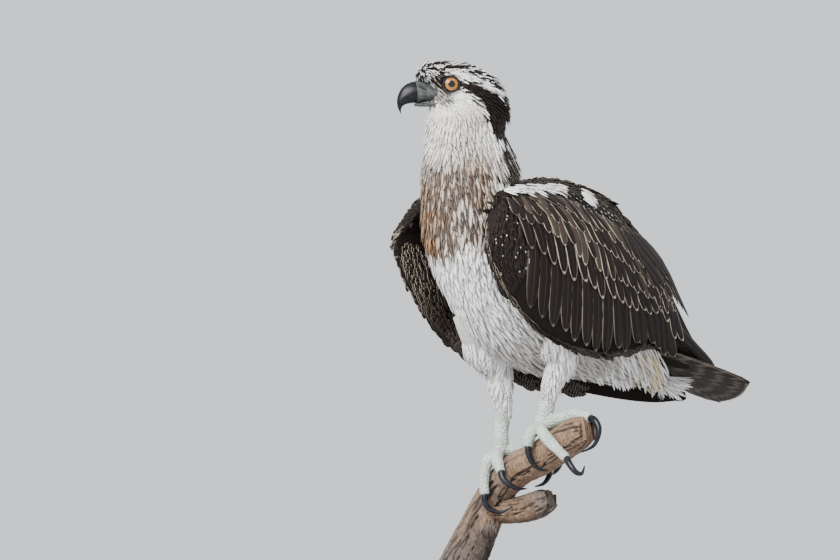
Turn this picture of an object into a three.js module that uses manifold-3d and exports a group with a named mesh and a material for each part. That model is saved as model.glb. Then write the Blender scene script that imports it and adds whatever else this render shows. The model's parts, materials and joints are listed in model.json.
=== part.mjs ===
// A juvenile osprey, life size, perched on a cut length of dead branch that a plain display stand holds.
// Units are millimetres. +Z is up, +X is the bird's left and -Y is the way its body faces. The origin is
// the centre of the base's underside.
import * as THREE from "three";
import { ParametricGeometry } from "three/addons/geometries/ParametricGeometry.js";
import { mergeVertices } from "three/addons/utils/BufferGeometryUtils.js";
import Module from "manifold-3d";

const wasm = await Module();
wasm.setup();

const GAP = 0.35; // clearance between parts that meet
const WELD = 1e-3;
const LEFT = 1;
const RIGHT = -1;
const DEGREE = Math.PI / 180;

// Solids

// A closed three.js geometry as a solid: close points become one, and faces that collapse go.
function solidOf(geometry) {
  const bare = new THREE.BufferGeometry();
  bare.setAttribute("position", geometry.getAttribute("position"));
  bare.setIndex(geometry.index);
  const merged = mergeVertices(bare, WELD);
  const corners = merged.index.array;
  const kept = [];
  for (let i = 0; i < corners.length; i += 3) {
    const [a, b, c] = corners.slice(i, i + 3);
    if (a !== b && b !== c && c !== a) kept.push(a, b, c);
  }
  const make = (list) =>
    new wasm.Manifold(
      new wasm.Mesh({
        numProp: 3,
        vertProperties: new Float32Array(merged.attributes.position.array),
        triVerts: new Uint32Array(list),
      }),
    );
  const solid = make(kept);
  if (solid.volume() > 0) return solid;
  const turned = [];
  for (let i = 0; i < kept.length; i += 3) turned.push(kept[i], kept[i + 2], kept[i + 1]);
  return make(turned);
}

// The largest body of a solid, so that loose scraps go.
function largestBody(solid) {
  const bodies = solid.decompose();
  return bodies.reduce((best, body) => (body.volume() > best.volume() ? body : best));
}

const fuse = (solids) => largestBody(wasm.Manifold.union(solids));
const cutAll = (solid, cutters) => cutters.reduce((rest, cutter) => rest.subtract(cutter), solid);

function meshOf(name, solid, material) {
  const data = largestBody(solid).getMesh();
  const points = new Float32Array(data.numVert * 3);
  for (let i = 0; i < data.numVert; i++) {
    points.set(data.vertProperties.subarray(i * data.numProp, i * data.numProp + 3), i * 3);
  }
  const geometry = new THREE.BufferGeometry();
  geometry.setAttribute("position", new THREE.BufferAttribute(points, 3));
  geometry.setIndex(new THREE.BufferAttribute(data.triVerts, 1));
  geometry.computeVertexNormals();
  const mesh = new THREE.Mesh(geometry, material);
  mesh.name = name;
  return mesh;
}

// Curves through rows of numbers

// A smooth curve through the rows, by the Catmull-Rom formula, where at runs from 0 to 1.
function smoothRow(rows, at) {
  const last = rows.length - 1;
  const place = THREE.MathUtils.clamp(at, 0, 1) * last;
  const k = Math.min(Math.floor(place), last - 1);
  const f = place - k;
  const before = rows[Math.max(k - 1, 0)];
  const after = rows[Math.min(k + 2, last)];
  return rows[k].map((value, i) => {
    const next = rows[k + 1][i];
    const a = (next - before[i]) / 2;
    const b = (after[i] - value) / 2;
    return value + f * (a + f * (3 * (next - value) - 2 * a - b + f * (2 * (value - next) + a + b)));
  });
}

const vector = (values) => new THREE.Vector3(values[0], values[1], values[2]);
const power = (value, exponent) => Math.sign(value) * Math.abs(value) ** exponent;
const mirrored = (rows, side) => rows.map(([x, ...rest]) => [side * x, ...rest]);

// A closed surface from point(at, angle): rings run round along a length, and both ends are capped.
function loft(point, around, along) {
  const rings = along + 2;
  const place = (u, v, target) => {
    const ring = v * rings;
    const at = THREE.MathUtils.clamp((ring - 1) / along, 0, 1);
    target.copy(point(at, u * 2 * Math.PI));
    if (ring < 0.5 || ring > rings - 0.5) {
      target.copy(point(at, 0)).add(point(at, Math.PI)).multiplyScalar(0.5);
    }
  };
  return solidOf(new ParametricGeometry(place, around, rings));
}

// A round bar along a path: rows hold x, y, z and radius.
function bar(rows, around, along, spare = 0) {
  const worldUp = new THREE.Vector3(0, 0, 1);
  const start = vector(rows[0]);
  const end = vector(rows[rows.length - 1]);
  const span = end.sub(start).normalize();
  const steep = Math.abs(span.dot(worldUp)) > 0.7;
  const guide = steep ? new THREE.Vector3(0, 1, 0) : worldUp;
  const step = 0.02;
  return loft(
    (at, angle) => {
      const row = smoothRow(rows, at);
      const ahead = vector(smoothRow(rows, Math.min(at + step, 1)));
      const behind = vector(smoothRow(rows, Math.max(at - step, 0)));
      const axis = ahead.sub(behind).normalize();
      const side = new THREE.Vector3().crossVectors(guide, axis).normalize();
      const top = new THREE.Vector3().crossVectors(axis, side);
      const radius = row[3] + spare;
      return vector(row)
        .addScaledVector(side, radius * Math.cos(angle))
        .addScaledVector(top, radius * Math.sin(angle));
    },
    around,
    along,
  );
}

// Body: sections from the tail's root to the crown

// Each section runs from a front (belly) point to a back point in the middle plane:
// front y, front z, back y, back z, half width, turn in degrees, narrowing of the front.
const NECK_AXIS_Y = -93;
const HEAD_TURN = -31; // the head looks over the bird's right
const BODY_SECTIONS = [
  [186, 292, 178, 316, 6, 0, 0],
  [160, 284, 168, 336, 24, 0, 0],
  [122, 282, 150, 376, 36, 0, 0],
  [78, 283, 118, 420, 46, 0, 0],
  [32, 285, 84, 448, 54, 0, 0.02],
  [-16, 292, 46, 465, 58, 0, 0.04],
  [-58, 312, 6, 472, 59, 0, 0.05],
  [-92, 346, -24, 477, 58, 0, 0.05],
  [-117, 386, -40, 483, 56, 0, 0.04],
  [-131, 424, -38, 491, 52, 0, 0.02],
  [-137, 458, -34, 503, 46, -4, 0],
  [-137, 488, -40, 515, 40, -12, 0],
  [-135, 512, -46, 528, 35, -22, 0.05],
  [-133, 532, -46, 541, 31, -29, 0.15],
  [-131, 548, -46, 552, 28.5, -31, 0.3],
  [-132, 560, -49, 563, 28.5, -31, 0.36],
  [-136, 570, -55, 573, 27.5, -31, 0.3],
  [-143, 579, -64, 581.5, 25, -31, 0.2],
  [-141, 586, -75, 587.5, 19.5, -31, 0.12],
  [-131, 590.5, -88, 591.5, 11, -31, 0.05],
  [-112, 592.2, -102, 592.4, 3, -31, 0],
];

function turnedAboutNeck(point, degrees) {
  const angle = degrees * DEGREE;
  const y = point.y - NECK_AXIS_Y;
  return new THREE.Vector3(
    point.x * Math.cos(angle) - y * Math.sin(angle),
    point.x * Math.sin(angle) + y * Math.cos(angle) + NECK_AXIS_Y,
    point.z,
  );
}

function bodyPoint(at, angle, spare = 0) {
  const [frontY, frontZ, backY, backZ, half, turn, narrow] = smoothRow(BODY_SECTIONS, at);
  const front = new THREE.Vector3(0, frontY, frontZ);
  const back = new THREE.Vector3(0, backY, backZ);
  const middle = front.clone().add(back).multiplyScalar(0.5);
  const reach = front.clone().sub(back).multiplyScalar(0.5);
  const depth = reach.length();
  const ahead = Math.cos(angle);
  const aside = Math.sin(angle) * (1 - narrow * ahead);
  const point = middle.addScaledVector(reach, (ahead * (depth + spare)) / depth);
  point.x = aside * (half + spare);
  return turnedAboutNeck(point, turn);
}

const AROUND_BODY = 22;
const ALONG_BODY = 34;
const bodyLoft = (spare) => loft((at, a) => bodyPoint(at, a, spare), AROUND_BODY, ALONG_BODY);
const wholeBody = bodyLoft(0);
const bodyClearance = bodyLoft(GAP);

// A box from a low corner to a high corner.
function block(low, high) {
  const size = vector(high).sub(vector(low));
  const geometry = new THREE.BoxGeometry(size.x, size.y, size.z);
  geometry.translate(...low.map((value, i) => (value + high[i]) / 2));
  return solidOf(geometry);
}

const NECK_BASE_Z = 478;
const HEAD_BASE_Z = 540;
const FAR = 400;
const slab = (low, high) => block([-FAR, -FAR, low], [FAR, FAR, high]);

// Head pieces are placed in the head's own frame: ahead along the bill, to its left, and up.
function headPoint(ahead, aside, z) {
  return turnedAboutNeck(new THREE.Vector3(aside, NECK_AXIS_Y - ahead, z), HEAD_TURN);
}

const EYE_AHEAD = 15.7;
const EYE_ASIDE = 18;
const EYE_Z = 568;
const EYE_RADIUS = 8.6;
const EYE_DETAIL = 12;
const LID_RADIUS = 7.6;
const LID_THICKNESS = 1.5;

function eyeBall(side, spare) {
  const geometry = new THREE.SphereGeometry(EYE_RADIUS + spare, EYE_DETAIL, EYE_DETAIL / 2);
  geometry.translate(...headPoint(EYE_AHEAD, side * EYE_ASIDE, EYE_Z).toArray());
  return solidOf(geometry);
}

// The lids are a ring where the eye comes out of the head.
function lidRing(side) {
  const geometry = new THREE.TorusGeometry(LID_RADIUS, LID_THICKNESS, 8, EYE_DETAIL);
  geometry.rotateY(Math.PI / 2);
  geometry.rotateZ(HEAD_TURN * DEGREE);
  geometry.translate(...headPoint(EYE_AHEAD, side * (EYE_ASIDE + 4), EYE_Z).toArray());
  return solidOf(geometry);
}

// Bill: sections along its length: ahead, top z, bottom z, half width.
const UPPER_BILL = [
  [28, 572, 554, 10],
  [37, 573, 552.5, 9.2],
  [46, 573, 551.3, 8.2],
  [53, 571, 550.6, 7],
  [58.5, 566.5, 549.6, 5.6],
  [62, 560.5, 548, 4.2],
  [63.9, 554, 545.4, 2.9],
  [63.8, 547, 542, 1.7],
  [62.4, 541, 539.8, 0.6],
];
const LOWER_BILL = [
  [20, 553, 548.5, 10],
  [32, 552.5, 547.6, 8.8],
  [42, 551.6, 547.2, 7],
  [48, 551, 547.8, 5],
];
const HOOK_LEAN = 0.9;
const AROUND_BILL = 12;
const ALONG_BILL = 11;

// The upper bill's sections lean as it hooks, so that each stays square to the curve.
function billLoft(rows, lean, spare) {
  return loft(
    (at, angle) => {
      const [ahead, top, bottom, half] = smoothRow(rows, at);
      const rise = ((top - bottom) / 2 + spare) * Math.cos(angle);
      const aside = (half + spare) * Math.sin(angle) * (1 - 0.25 * Math.cos(angle));
      return headPoint(ahead + lean * at ** 2 * rise, aside, (top + bottom) / 2 + rise);
    },
    AROUND_BILL,
    ALONG_BILL,
  );
}

const CERE_EDGE = 45;
const aheadOf = (ahead) => {
  const geometry = new THREE.BoxGeometry(FAR, FAR, FAR);
  geometry.translate(0, -FAR / 2 - ahead, 0);
  geometry.rotateZ(HEAD_TURN * DEGREE);
  geometry.translate(0, NECK_AXIS_Y, EYE_Z);
  return solidOf(geometry);
};
const upperBill = billLoft(UPPER_BILL, HOOK_LEAN, 0);
const upperClearance = billLoft(UPPER_BILL, HOOK_LEAN, GAP);
const lowerBill = billLoft(LOWER_BILL, 0, 0).subtract(upperClearance);
const lowerClearance = billLoft(LOWER_BILL, 0, GAP);

// Wings: each is a curved blade, from the shoulder to the tip of the longest primary

// Rows hold the upper edge's x, y, z, the lower edge's x, y, z, the bulge and the half thickness.
const LEFT_WING = [
  [44, -90, 463, 51, -108, 437, 6, 5],
  [38, -58, 474, 58, -114, 402, 13, 8],
  [28, 0, 481, 61, -96, 366, 22, 8],
  [21, 50, 477, 60, -58, 333, 25, 7.5],
  [18, 88, 467, 59, -15, 315, 24, 7],
  [16, 120, 446, 56, 32, 307, 21, 6],
  [15, 149, 424, 50, 76, 309, 17, 5],
  [15, 169, 403, 42, 118, 317, 13, 4],
  [15, 193, 367, 33, 154, 311, 8, 3.2],
  [14, 217, 335, 24, 196, 305, 4, 2.6],
  [14, 236, 314, 19, 226, 300, 2, 2],
  [15, 251, 301, 16, 247, 298, 0, 1.2],
];
const RIGHT_WING = [
  [-46, -86, 450, -61, -111, 433, 5, 5],
  [-40, -50, 474, -73, -117, 416, 10, 8],
  [-30, 2, 478, -75, -103, 384, 18, 8],
  [-22, 50, 472, -75, -76, 350, 22, 7.5],
  [-19, 86, 460, -73, -42, 319, 23, 7],
  [-17, 115, 438, -69, -4, 299, 21, 6],
  [-17, 142, 410, -61, 39, 286, 17, 5],
  [-17, 162, 385, -50, 96, 276, 12, 4],
  [-17, 186, 345, -37, 160, 267, 8, 3.2],
  [-16, 208, 312, -26, 200, 264, 4, 2.6],
  [-15, 226, 288, -19, 226, 266, 2, 2],
  [-15, 242, 271, -15, 239, 268, 0, 1.2],
];

function wingPoint(rows, side, at, angle, spare = 0) {
  const row = smoothRow(rows, at);
  const upper = vector(row);
  const lower = vector(row.slice(3));
  const [bulge, half] = row.slice(6);
  const across = lower.clone().sub(upper);
  const width = across.length();
  across.normalize();
  const along = vector(smoothRow(rows, Math.min(at + 0.03, 1)));
  along.sub(vector(smoothRow(rows, Math.max(at - 0.03, 0)))).normalize();
  const out = new THREE.Vector3().crossVectors(across, along).multiplyScalar(side).normalize();
  const place = -Math.cos(angle);
  const arch = bulge * Math.cos((place * Math.PI) / 2);
  return upper
    .add(lower)
    .multiplyScalar(0.5)
    .addScaledVector(across, place * (width / 2 + spare))
    .addScaledVector(out, arch + (half + spare) * Math.sin(angle));
}

const AROUND_WING = 16;
const ALONG_WING = 18;
const wingLoft = (rows, side, spare) =>
  loft((at, angle) => wingPoint(rows, side, at, angle, spare), AROUND_WING, ALONG_WING);
const wingClearances = [wingLoft(LEFT_WING, LEFT, GAP), wingLoft(RIGHT_WING, RIGHT, GAP)];

// Feathers: closed vanes along a centre line, with a narrow root and a rounded tip

const VANE_STEPS = 4;
const VANE_THICKNESS = 0.6;
const TIP_SHARE = 0.25; // the last part of a vane, which is rounded off

function vaneWidth(at) {
  const past = Math.max(0, (at - 1 + TIP_SHARE) / TIP_SHARE);
  return Math.min(1, 0.4 + 3 * at) * Math.sqrt(1 - 0.97 * past * past);
}

// lineAt gives a station's centre, its side direction and the direction that it faces.
function vane(lineAt, halfWidth) {
  return loft(
    (at, angle) => {
      const { centre, side, facing } = lineAt(at);
      const thick = VANE_THICKNESS * (at > 0.99 ? 0.5 : 1);
      return centre
        .addScaledVector(side, halfWidth * vaneWidth(at) * Math.cos(angle))
        .addScaledVector(facing, (thick / 2) * Math.sin(angle));
    },
    4,
    VANE_STEPS,
  );
}

// A wing's outer surface at a place along it and across it, with its outward direction.
function wingFrame(rows, side, at, place) {
  const angle = Math.acos(THREE.MathUtils.clamp(-place, -0.97, 0.97));
  const step = 0.01;
  const near = (a, b) => wingPoint(rows, side, a, b);
  const along = near(at + step, angle).sub(near(at - step, angle));
  const around = near(at, angle + step).sub(near(at, angle - step));
  const out = new THREE.Vector3().crossVectors(around, along).normalize();
  if (out.x * side < 0) out.negate();
  return { point: near(at, angle), out };
}

// Tiers of a folded wing. Root and tip are places along and across the wing, with the step from one
// feather to the next, and tilt lays the feathers over one another like shingles.
const ROOT_DEPTH = 2.5;
const WING_TIERS = [
  {
    name: "primaries",
    count: 8,
    root: [0.5, 0.45],
    rootStep: [0.02, -0.045],
    tip: [0.8, 0.5],
    tipStep: [0.028, -0.085],
    halfWidth: 8,
    height: 1.4,
    tilt: 0.1,
  },
  {
    name: "secondaries",
    count: 10,
    root: [0.14, 0.1],
    rootStep: [0.048, -0.02],
    tip: [0.26, 0.96],
    tipStep: [0.052, 0],
    halfWidth: 11,
    height: 1.9,
    tilt: 0.1,
  },
  {
    name: "greater coverts",
    count: 10,
    root: [0.08, -0.35],
    rootStep: [0.05, -0.015],
    tip: [0.19, 0.36],
    tipStep: [0.053, -0.012],
    halfWidth: 10,
    height: 4.2,
    tilt: 0.1,
  },
  {
    name: "tertials",
    count: 4,
    root: [0.38, -0.5],
    rootStep: [0.035, -0.07],
    tip: [0.64, -0.1],
    tipStep: [0.04, -0.18],
    halfWidth: 11,
    height: 6.2,
    tilt: 0.1,
  },
];

function wingVane(rows, side, tier, number) {
  const from = tier.root.map((value, i) => value + tier.rootStep[i] * number);
  const to = tier.tip.map((value, i) => value + tier.tipStep[i] * number);
  const at = (share) => from.map((value, i) => value + (to[i] - value) * share);
  const surface = (share) => wingFrame(rows, side, ...at(THREE.MathUtils.clamp(share, 0, 1)));
  const lineAt = (share) => {
    const { point, out } = surface(share);
    const way = surface(share + 0.05).point.sub(surface(share - 0.05).point).normalize();
    const level = new THREE.Vector3().crossVectors(out, way).normalize().multiplyScalar(side);
    const rise = THREE.MathUtils.lerp(-ROOT_DEPTH, tier.height, Math.min(1, share * 3));
    return {
      centre: point.addScaledVector(out, rise),
      side: level.clone().addScaledVector(out, tier.tilt).normalize(),
      facing: out.clone().addScaledVector(level, -tier.tilt).normalize(),
    };
  };
  return vane(lineAt, tier.halfWidth);
}

function featheredWing(rows, side, cutters) {
  const vanes = WING_TIERS.flatMap((tier) =>
    Array.from({ length: tier.count }, (_, number) => wingVane(rows, side, tier, number)),
  );
  const clear = vanes.map((solid) => largestBody(cutAll(solid, cutters)));
  return fuse([wingLoft(rows, side, 0), ...clear]);
}

// Tail: closed, swung a little to the left, with its left edge up

// Rows hold x, y, z of the middle, half width and half thickness.
const TAIL_ROWS = [
  [2, 112, 324, 14, 4.5],
  [9, 156, 309, 19, 4.5],
  [17, 198, 296, 23, 4],
  [24, 238, 284, 26, 3],
  [30, 274, 274, 27, 1.8],
];
const TAIL_ROLL = 24 * DEGREE;

function tailPoint(at, angle, spare = 0) {
  const [x, y, z, half, thick] = smoothRow(TAIL_ROWS, at);
  const axis = vector(TAIL_ROWS[TAIL_ROWS.length - 1]).sub(vector(TAIL_ROWS[0])).normalize();
  const level = new THREE.Vector3(axis.y, -axis.x, 0).normalize();
  const up = new THREE.Vector3().crossVectors(level, axis).normalize();
  const aside = level.clone().multiplyScalar(Math.cos(TAIL_ROLL)).addScaledVector(up, Math.sin(TAIL_ROLL));
  const top = new THREE.Vector3().crossVectors(aside, axis).normalize();
  return new THREE.Vector3(x, y, z)
    .addScaledVector(aside, (half + spare) * Math.cos(angle))
    .addScaledVector(top, (thick + spare) * Math.sin(angle));
}

// The core that carries the roots is thick enough to hold every level of feathers inside the body.
const corePoint = (at, angle, spare) => tailPoint(at, angle, 0.9 + 3.6 * Math.sin(angle) ** 2 + spare);
const tailClearance = loft((at, angle) => corePoint(at, angle, GAP), 16, 8);

// Twelve tail feathers, each on a level of its own: the middle pair on top and the outer pair lowest.
const TAIL_PAIRS = 6;
const TAIL_LEVEL = 0.92;
const TAIL_HALF_WIDTH = 8.5;
const TAIL_CORE_LENGTH = 0.42; // how far the core that carries the roots reaches, as a share

function tailVane(pair, side) {
  const share = (pair + 0.5) / TAIL_PAIRS;
  const level = (TAIL_PAIRS - pair) * 2 - (side === LEFT ? 1 : 0) - TAIL_PAIRS;
  const length = 1 - 0.05 * share * share;
  const lineAt = (at) => {
    const reach = 0.12 + (length - 0.12) * at;
    const middle = tailPoint(reach, Math.PI / 2).add(tailPoint(reach, -Math.PI / 2)).multiplyScalar(0.5);
    const aside = tailPoint(reach, 0).sub(middle);
    const half = aside.length();
    aside.normalize();
    const facing = tailPoint(reach, Math.PI / 2).sub(middle).normalize();
    const fan = (half - TAIL_HALF_WIDTH) * share * side;
    const spread = THREE.MathUtils.smoothstep(at, 0, 0.35);
    return {
      centre: middle.addScaledVector(aside, fan).addScaledVector(facing, level * TAIL_LEVEL * (0.45 + 0.55 * spread)),
      side: aside,
      facing,
    };
  };
  return vane(lineAt, TAIL_HALF_WIDTH);
}

const tailCore = loft((at, angle) => corePoint(at * TAIL_CORE_LENGTH, angle, 0), 16, 4);
const tailVanes = Array.from({ length: TAIL_PAIRS }, (_, pair) => [tailVane(pair, LEFT), tailVane(pair, RIGHT)]);
const tail = fuse([tailCore, ...tailVanes.flat()]).subtract(bodyClearance.subtract(tailClearance));

// Legs: feathered thighs, scaled shanks, toes and claws

const THIGH_LEFT = [
  [32, -6, 352, 24],
  [34, 2, 325, 23],
  [36, 6, 305, 19],
  [37, 1, 292, 14.5],
  [34.5, -4, 276, 12],
  [31.5, -5.5, 257, 9.4],
];
const THIGH_RIGHT = [
  [-36, -34, 350, 32],
  [-37, -24, 322, 28],
  [-37, -12, 299, 19],
  [-36, -7, 278, 15],
  [-36, -3, 257, 11.4],
  [-36, -4, 241, 9.2],
];
const SHANK_LEFT = [
  [34, -4.5, 270, 7.4],
  [29, -5.5, 252, 7.8],
  [24, -6.5, 238, 8.4],
  [22, -7, 229, 9.5],
];
const SHANK_RIGHT = [
  [-36, -3, 256, 7.4],
  [-36, -5, 238, 7.6],
  [-36, -6.5, 222, 8],
  [-36, -7, 209, 9.5],
];

// Toes of each foot, from the ankle: middle, inner or outer, the one along the branch, the hidden one.
const TOES_LEFT = [
  [
    [22, -8, 231, 7],
    [23, -18, 229, 6.4],
    [24.5, -26, 220, 5.8],
    [25.5, -28, 212, 4.6],
  ],
  [
    [23, -8, 231, 7],
    [33, -18, 231, 6.4],
    [52, -26, 219, 5.8],
    [80, -27, 199, 4.8],
  ],
  [
    [24, -5, 233, 7.5],
    [42, -2, 240, 7],
    [64, 0, 244, 6.6],
    [86, 0, 240, 5],
  ],
  [
    [23, -4, 230, 7],
    [24, 8, 231, 6.4],
    [22, 20, 222, 5.8],
    [21, 23, 210, 4.6],
  ],
];
const TOES_RIGHT = [
  [
    [-36, -9, 210, 7],
    [-39, -20, 201, 6.4],
    [-39, -27, 184, 5.8],
    [-37, -27, 166, 4.8],
  ],
  [
    [-35, -9, 209, 7],
    [-29, -18, 205, 6.4],
    [-19, -26, 197, 5.8],
    [-12.5, -28, 188, 4.6],
  ],
  [
    [-35, -6, 210, 7],
    [-26, 6, 211, 6.6],
    [-12, 18, 206, 5.8],
    [0, 22, 196, 4.6],
  ],
  [
    [-36, -6, 209, 7],
    [-42, 8, 203, 6.4],
    [-49, 19, 190, 5.8],
    [-54, 22, 174, 4.6],
  ],
];
const CLAWS_LEFT = [
  [
    [25.5, -28, 214, 3.6],
    [26.5, -28, 206, 3.3],
    [28, -25, 198, 2.7],
    [32, -19, 191, 1.8],
    [37, -11, 189, 0.6],
  ],
  [
    [78, -27, 201, 3.6],
    [86, -29, 193, 3.3],
    [92, -27, 186, 2.7],
    [93, -20, 185, 1.8],
    [88, -11, 193, 0.6],
  ],
  [
    [84, 0, 240, 3.8],
    [93, -1, 237, 3.5],
    [99, -2, 227, 2.8],
    [95, -5, 213, 1.9],
    [80, -9, 206, 0.6],
  ],
  [
    [21, 23, 212, 3.6],
    [20, 24, 203, 3.3],
    [19, 21, 194, 2.7],
    [20, 14, 188, 1.8],
    [24, 6, 186, 0.6],
  ],
];
const CLAWS_RIGHT = [
  [
    [-37, -27, 168, 3.6],
    [-36, -28, 159, 3.3],
    [-32, -25, 152, 2.7],
    [-24, -18, 149, 1.8],
    [-15, -10, 155, 0.6],
  ],
  [
    [-13, -28, 190, 3.6],
    [-9, -29, 182, 3.3],
    [-3, -26, 176, 2.7],
    [3, -20, 172, 1.8],
    [8, -12, 172, 0.6],
  ],
  [
    [-1, 22, 197, 3.6],
    [6, 21, 190, 3.3],
    [10, 15, 183, 2.7],
    [11, 7, 177, 1.8],
    [9, -3, 174, 0.6],
  ],
  [
    [-54, 22, 176, 3.6],
    [-56, 22, 166, 3.3],
    [-55, 18, 156, 2.7],
    [-51, 10, 149, 1.8],
    [-46, 2, 147, 0.6],
  ],
];

// Perch: a cut length of dead branch with a broken side stub

const BRANCH_ROWS = [
  [84, -3, 229, 13],
  [70, -3, 225, 16.5],
  [44, -3, 214, 17],
  [16, -3, 202, 17],
  [-12, -3, 193, 17],
  [-36, -3, 179, 17.5],
  [-54, -3, 160, 18],
  [-69, -3, 138, 20],
  [-86, -3, 113, 22],
  [-106, -3, 84, 23.5],
  [-118, -3, 66, 23.5],
];
const STUB_ROWS = [
  [-52, -3, 152, 13],
  [-34, 1, 151, 13],
  [-14, 6, 153, 14],
  [4, 10, 158, 14],
  [14, 13, 162, 10],
];
const branch = fuse([bar(BRANCH_ROWS, 16, 20), bar(STUB_ROWS, 10, 6)]);
const branchClearance = fuse([bar(BRANCH_ROWS, 16, 20, GAP), bar(STUB_ROWS, 10, 6, GAP)]);

// Stand: a flat base and two rods

const BASE_X = -35;
const BASE_Y = 10;
const BASE_SIZE = [280, 220, 16];
const ROD_RADIUS = 6;
const ROD_TOPS = [
  [-84, -3, 106],
  [-108, -3, 72],
];
function rodTo([x, y, top], spare) {
  const geometry = new THREE.CylinderGeometry(ROD_RADIUS + spare, ROD_RADIUS + spare, 1, 20);
  const foot = BASE_SIZE[2] + GAP;
  geometry.rotateX(Math.PI / 2);
  geometry.scale(1, 1, top + spare - foot);
  geometry.translate(x, y, (top + spare + foot) / 2);
  return solidOf(geometry);
}
const base = block(
  [BASE_X - BASE_SIZE[0] / 2, BASE_Y - BASE_SIZE[1] / 2, 0],
  [BASE_X + BASE_SIZE[0] / 2, BASE_Y + BASE_SIZE[1] / 2, BASE_SIZE[2]],
);

// Assembly

const material = (color, roughness, metalness = 0) =>
  new THREE.MeshStandardMaterial({ color, roughness, metalness });
const WHITE_PLUMAGE = material(0xe6e2da, 0.85);
const BREAST_PLUMAGE = material(0xcdb79c, 0.85);
const DARK_PLUMAGE = material(0x3a2e28, 0.75);
const HORN = material(0x2b2d31, 0.35);
const CERE_SKIN = material(0x7f8a83, 0.5);
const IRIS = material(0xd9861c, 0.15);
const SCALES = material(0xb9c2b4, 0.6);
const DEAD_WOOD = material(0x8a6a50, 0.85);
const STAND_WOOD = material(0x3b2a20, 0.45);
const STEEL = material(0x9a9da1, 0.3, 0.9);

const osprey = new THREE.Group();
osprey.name = "osprey";
osprey.position.set(-BASE_X, -BASE_Y, 0);
const place = (name, solid, plumage) => osprey.add(meshOf(name, solid, plumage));

const trunkCutters = [...wingClearances, tailClearance];
place("torso", cutAll(wholeBody.intersect(slab(0, NECK_BASE_Z)), trunkCutters), WHITE_PLUMAGE);
place(
  "neck",
  cutAll(wholeBody.intersect(slab(NECK_BASE_Z + GAP, HEAD_BASE_Z)), wingClearances),
  BREAST_PLUMAGE,
);
const eyeClearances = [eyeBall(LEFT, GAP), eyeBall(RIGHT, GAP)];
const headShape = fuse([
  wholeBody.intersect(slab(HEAD_BASE_Z + GAP, 2 * FAR)),
  lidRing(LEFT),
  lidRing(RIGHT),
]);
place("head", cutAll(headShape, [...eyeClearances, upperClearance, lowerClearance]), WHITE_PLUMAGE);
place("eye_left", cutAll(eyeBall(LEFT, 0), [upperClearance, lowerClearance]), IRIS);
place("eye_right", cutAll(eyeBall(RIGHT, 0), [upperClearance, lowerClearance]), IRIS);
place("bill_upper", upperBill.intersect(aheadOf(CERE_EDGE)), HORN);
place("cere", upperBill.subtract(aheadOf(CERE_EDGE - GAP)), CERE_SKIN);
place("bill_lower", lowerBill, HORN);
const thighClearances = [bar(THIGH_LEFT, 20, 9, GAP), bar(THIGH_RIGHT, 20, 9, GAP)];
const vaneCutters = [bodyClearance, tailClearance, ...thighClearances];
place("wing_left", featheredWing(LEFT_WING, LEFT, vaneCutters).subtract(tailClearance), DARK_PLUMAGE);
place("wing_right", featheredWing(RIGHT_WING, RIGHT, vaneCutters).subtract(tailClearance), DARK_PLUMAGE);
place("tail", tail, DARK_PLUMAGE);

const perchCutters = [];
function leg(side, thigh, shank, toes, claws) {
  const clawSolids = claws.map((rows) => bar(rows, 8, 6));
  const clawClearances = claws.map((rows) => bar(rows, 8, 6, GAP));
  const thighSolid = bar(thigh, 20, 9);
  const shankSolid = bar(shank, 12, 5);
  const foot = fuse([shankSolid, ...toes.map((rows) => bar(rows, 8, 5))]);
  const thighClearance = bar(thigh, 20, 9, GAP);
  place(`thigh_${side}`, cutAll(thighSolid, [bodyClearance, ...wingClearances]), WHITE_PLUMAGE);
  place(`foot_${side}`, cutAll(foot, [thighClearance, branchClearance, ...clawClearances]), SCALES);
  clawSolids.forEach((solid, i) => place(`claw_${side}_${i + 1}`, solid, HORN));
  perchCutters.push(...clawClearances);
}
leg("left", THIGH_LEFT, SHANK_LEFT, TOES_LEFT, CLAWS_LEFT);
leg("right", THIGH_RIGHT, SHANK_RIGHT, TOES_RIGHT, CLAWS_RIGHT);

const rodClearances = ROD_TOPS.map((rod) => rodTo(rod, GAP));
place("perch_branch", cutAll(branch, [...perchCutters, ...rodClearances]), DEAD_WOOD);
place("stand_base", base, STAND_WOOD);
ROD_TOPS.forEach((rod, i) => place(`stand_rod_${i + 1}`, rodTo(rod, 0), STEEL));

export default osprey;
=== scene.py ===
import json
import math
from functools import partial

import bpy
import numpy as np
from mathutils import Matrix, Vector

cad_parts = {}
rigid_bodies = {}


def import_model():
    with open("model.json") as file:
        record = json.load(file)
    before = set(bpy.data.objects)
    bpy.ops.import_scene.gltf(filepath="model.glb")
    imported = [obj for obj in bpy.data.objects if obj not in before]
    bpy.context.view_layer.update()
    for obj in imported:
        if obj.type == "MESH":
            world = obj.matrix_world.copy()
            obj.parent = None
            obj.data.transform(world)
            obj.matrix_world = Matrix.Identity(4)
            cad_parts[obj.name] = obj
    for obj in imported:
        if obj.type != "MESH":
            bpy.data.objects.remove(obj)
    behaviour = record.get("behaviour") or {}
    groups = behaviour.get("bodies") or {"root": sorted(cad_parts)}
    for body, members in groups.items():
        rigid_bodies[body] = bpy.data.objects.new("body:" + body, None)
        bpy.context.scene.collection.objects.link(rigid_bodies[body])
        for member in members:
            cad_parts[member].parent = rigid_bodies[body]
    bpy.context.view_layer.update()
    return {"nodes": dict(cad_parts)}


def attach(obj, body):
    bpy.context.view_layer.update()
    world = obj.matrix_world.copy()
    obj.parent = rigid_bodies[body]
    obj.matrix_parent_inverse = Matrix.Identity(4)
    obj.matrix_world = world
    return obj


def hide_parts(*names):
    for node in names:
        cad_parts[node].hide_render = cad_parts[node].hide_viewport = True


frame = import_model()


# Display stand: a flat dark-stained wooden base and two brushed steel rods up to the branch.
# The solids are shown as they are, with grain on the base and fine turning marks on the rods.


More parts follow.
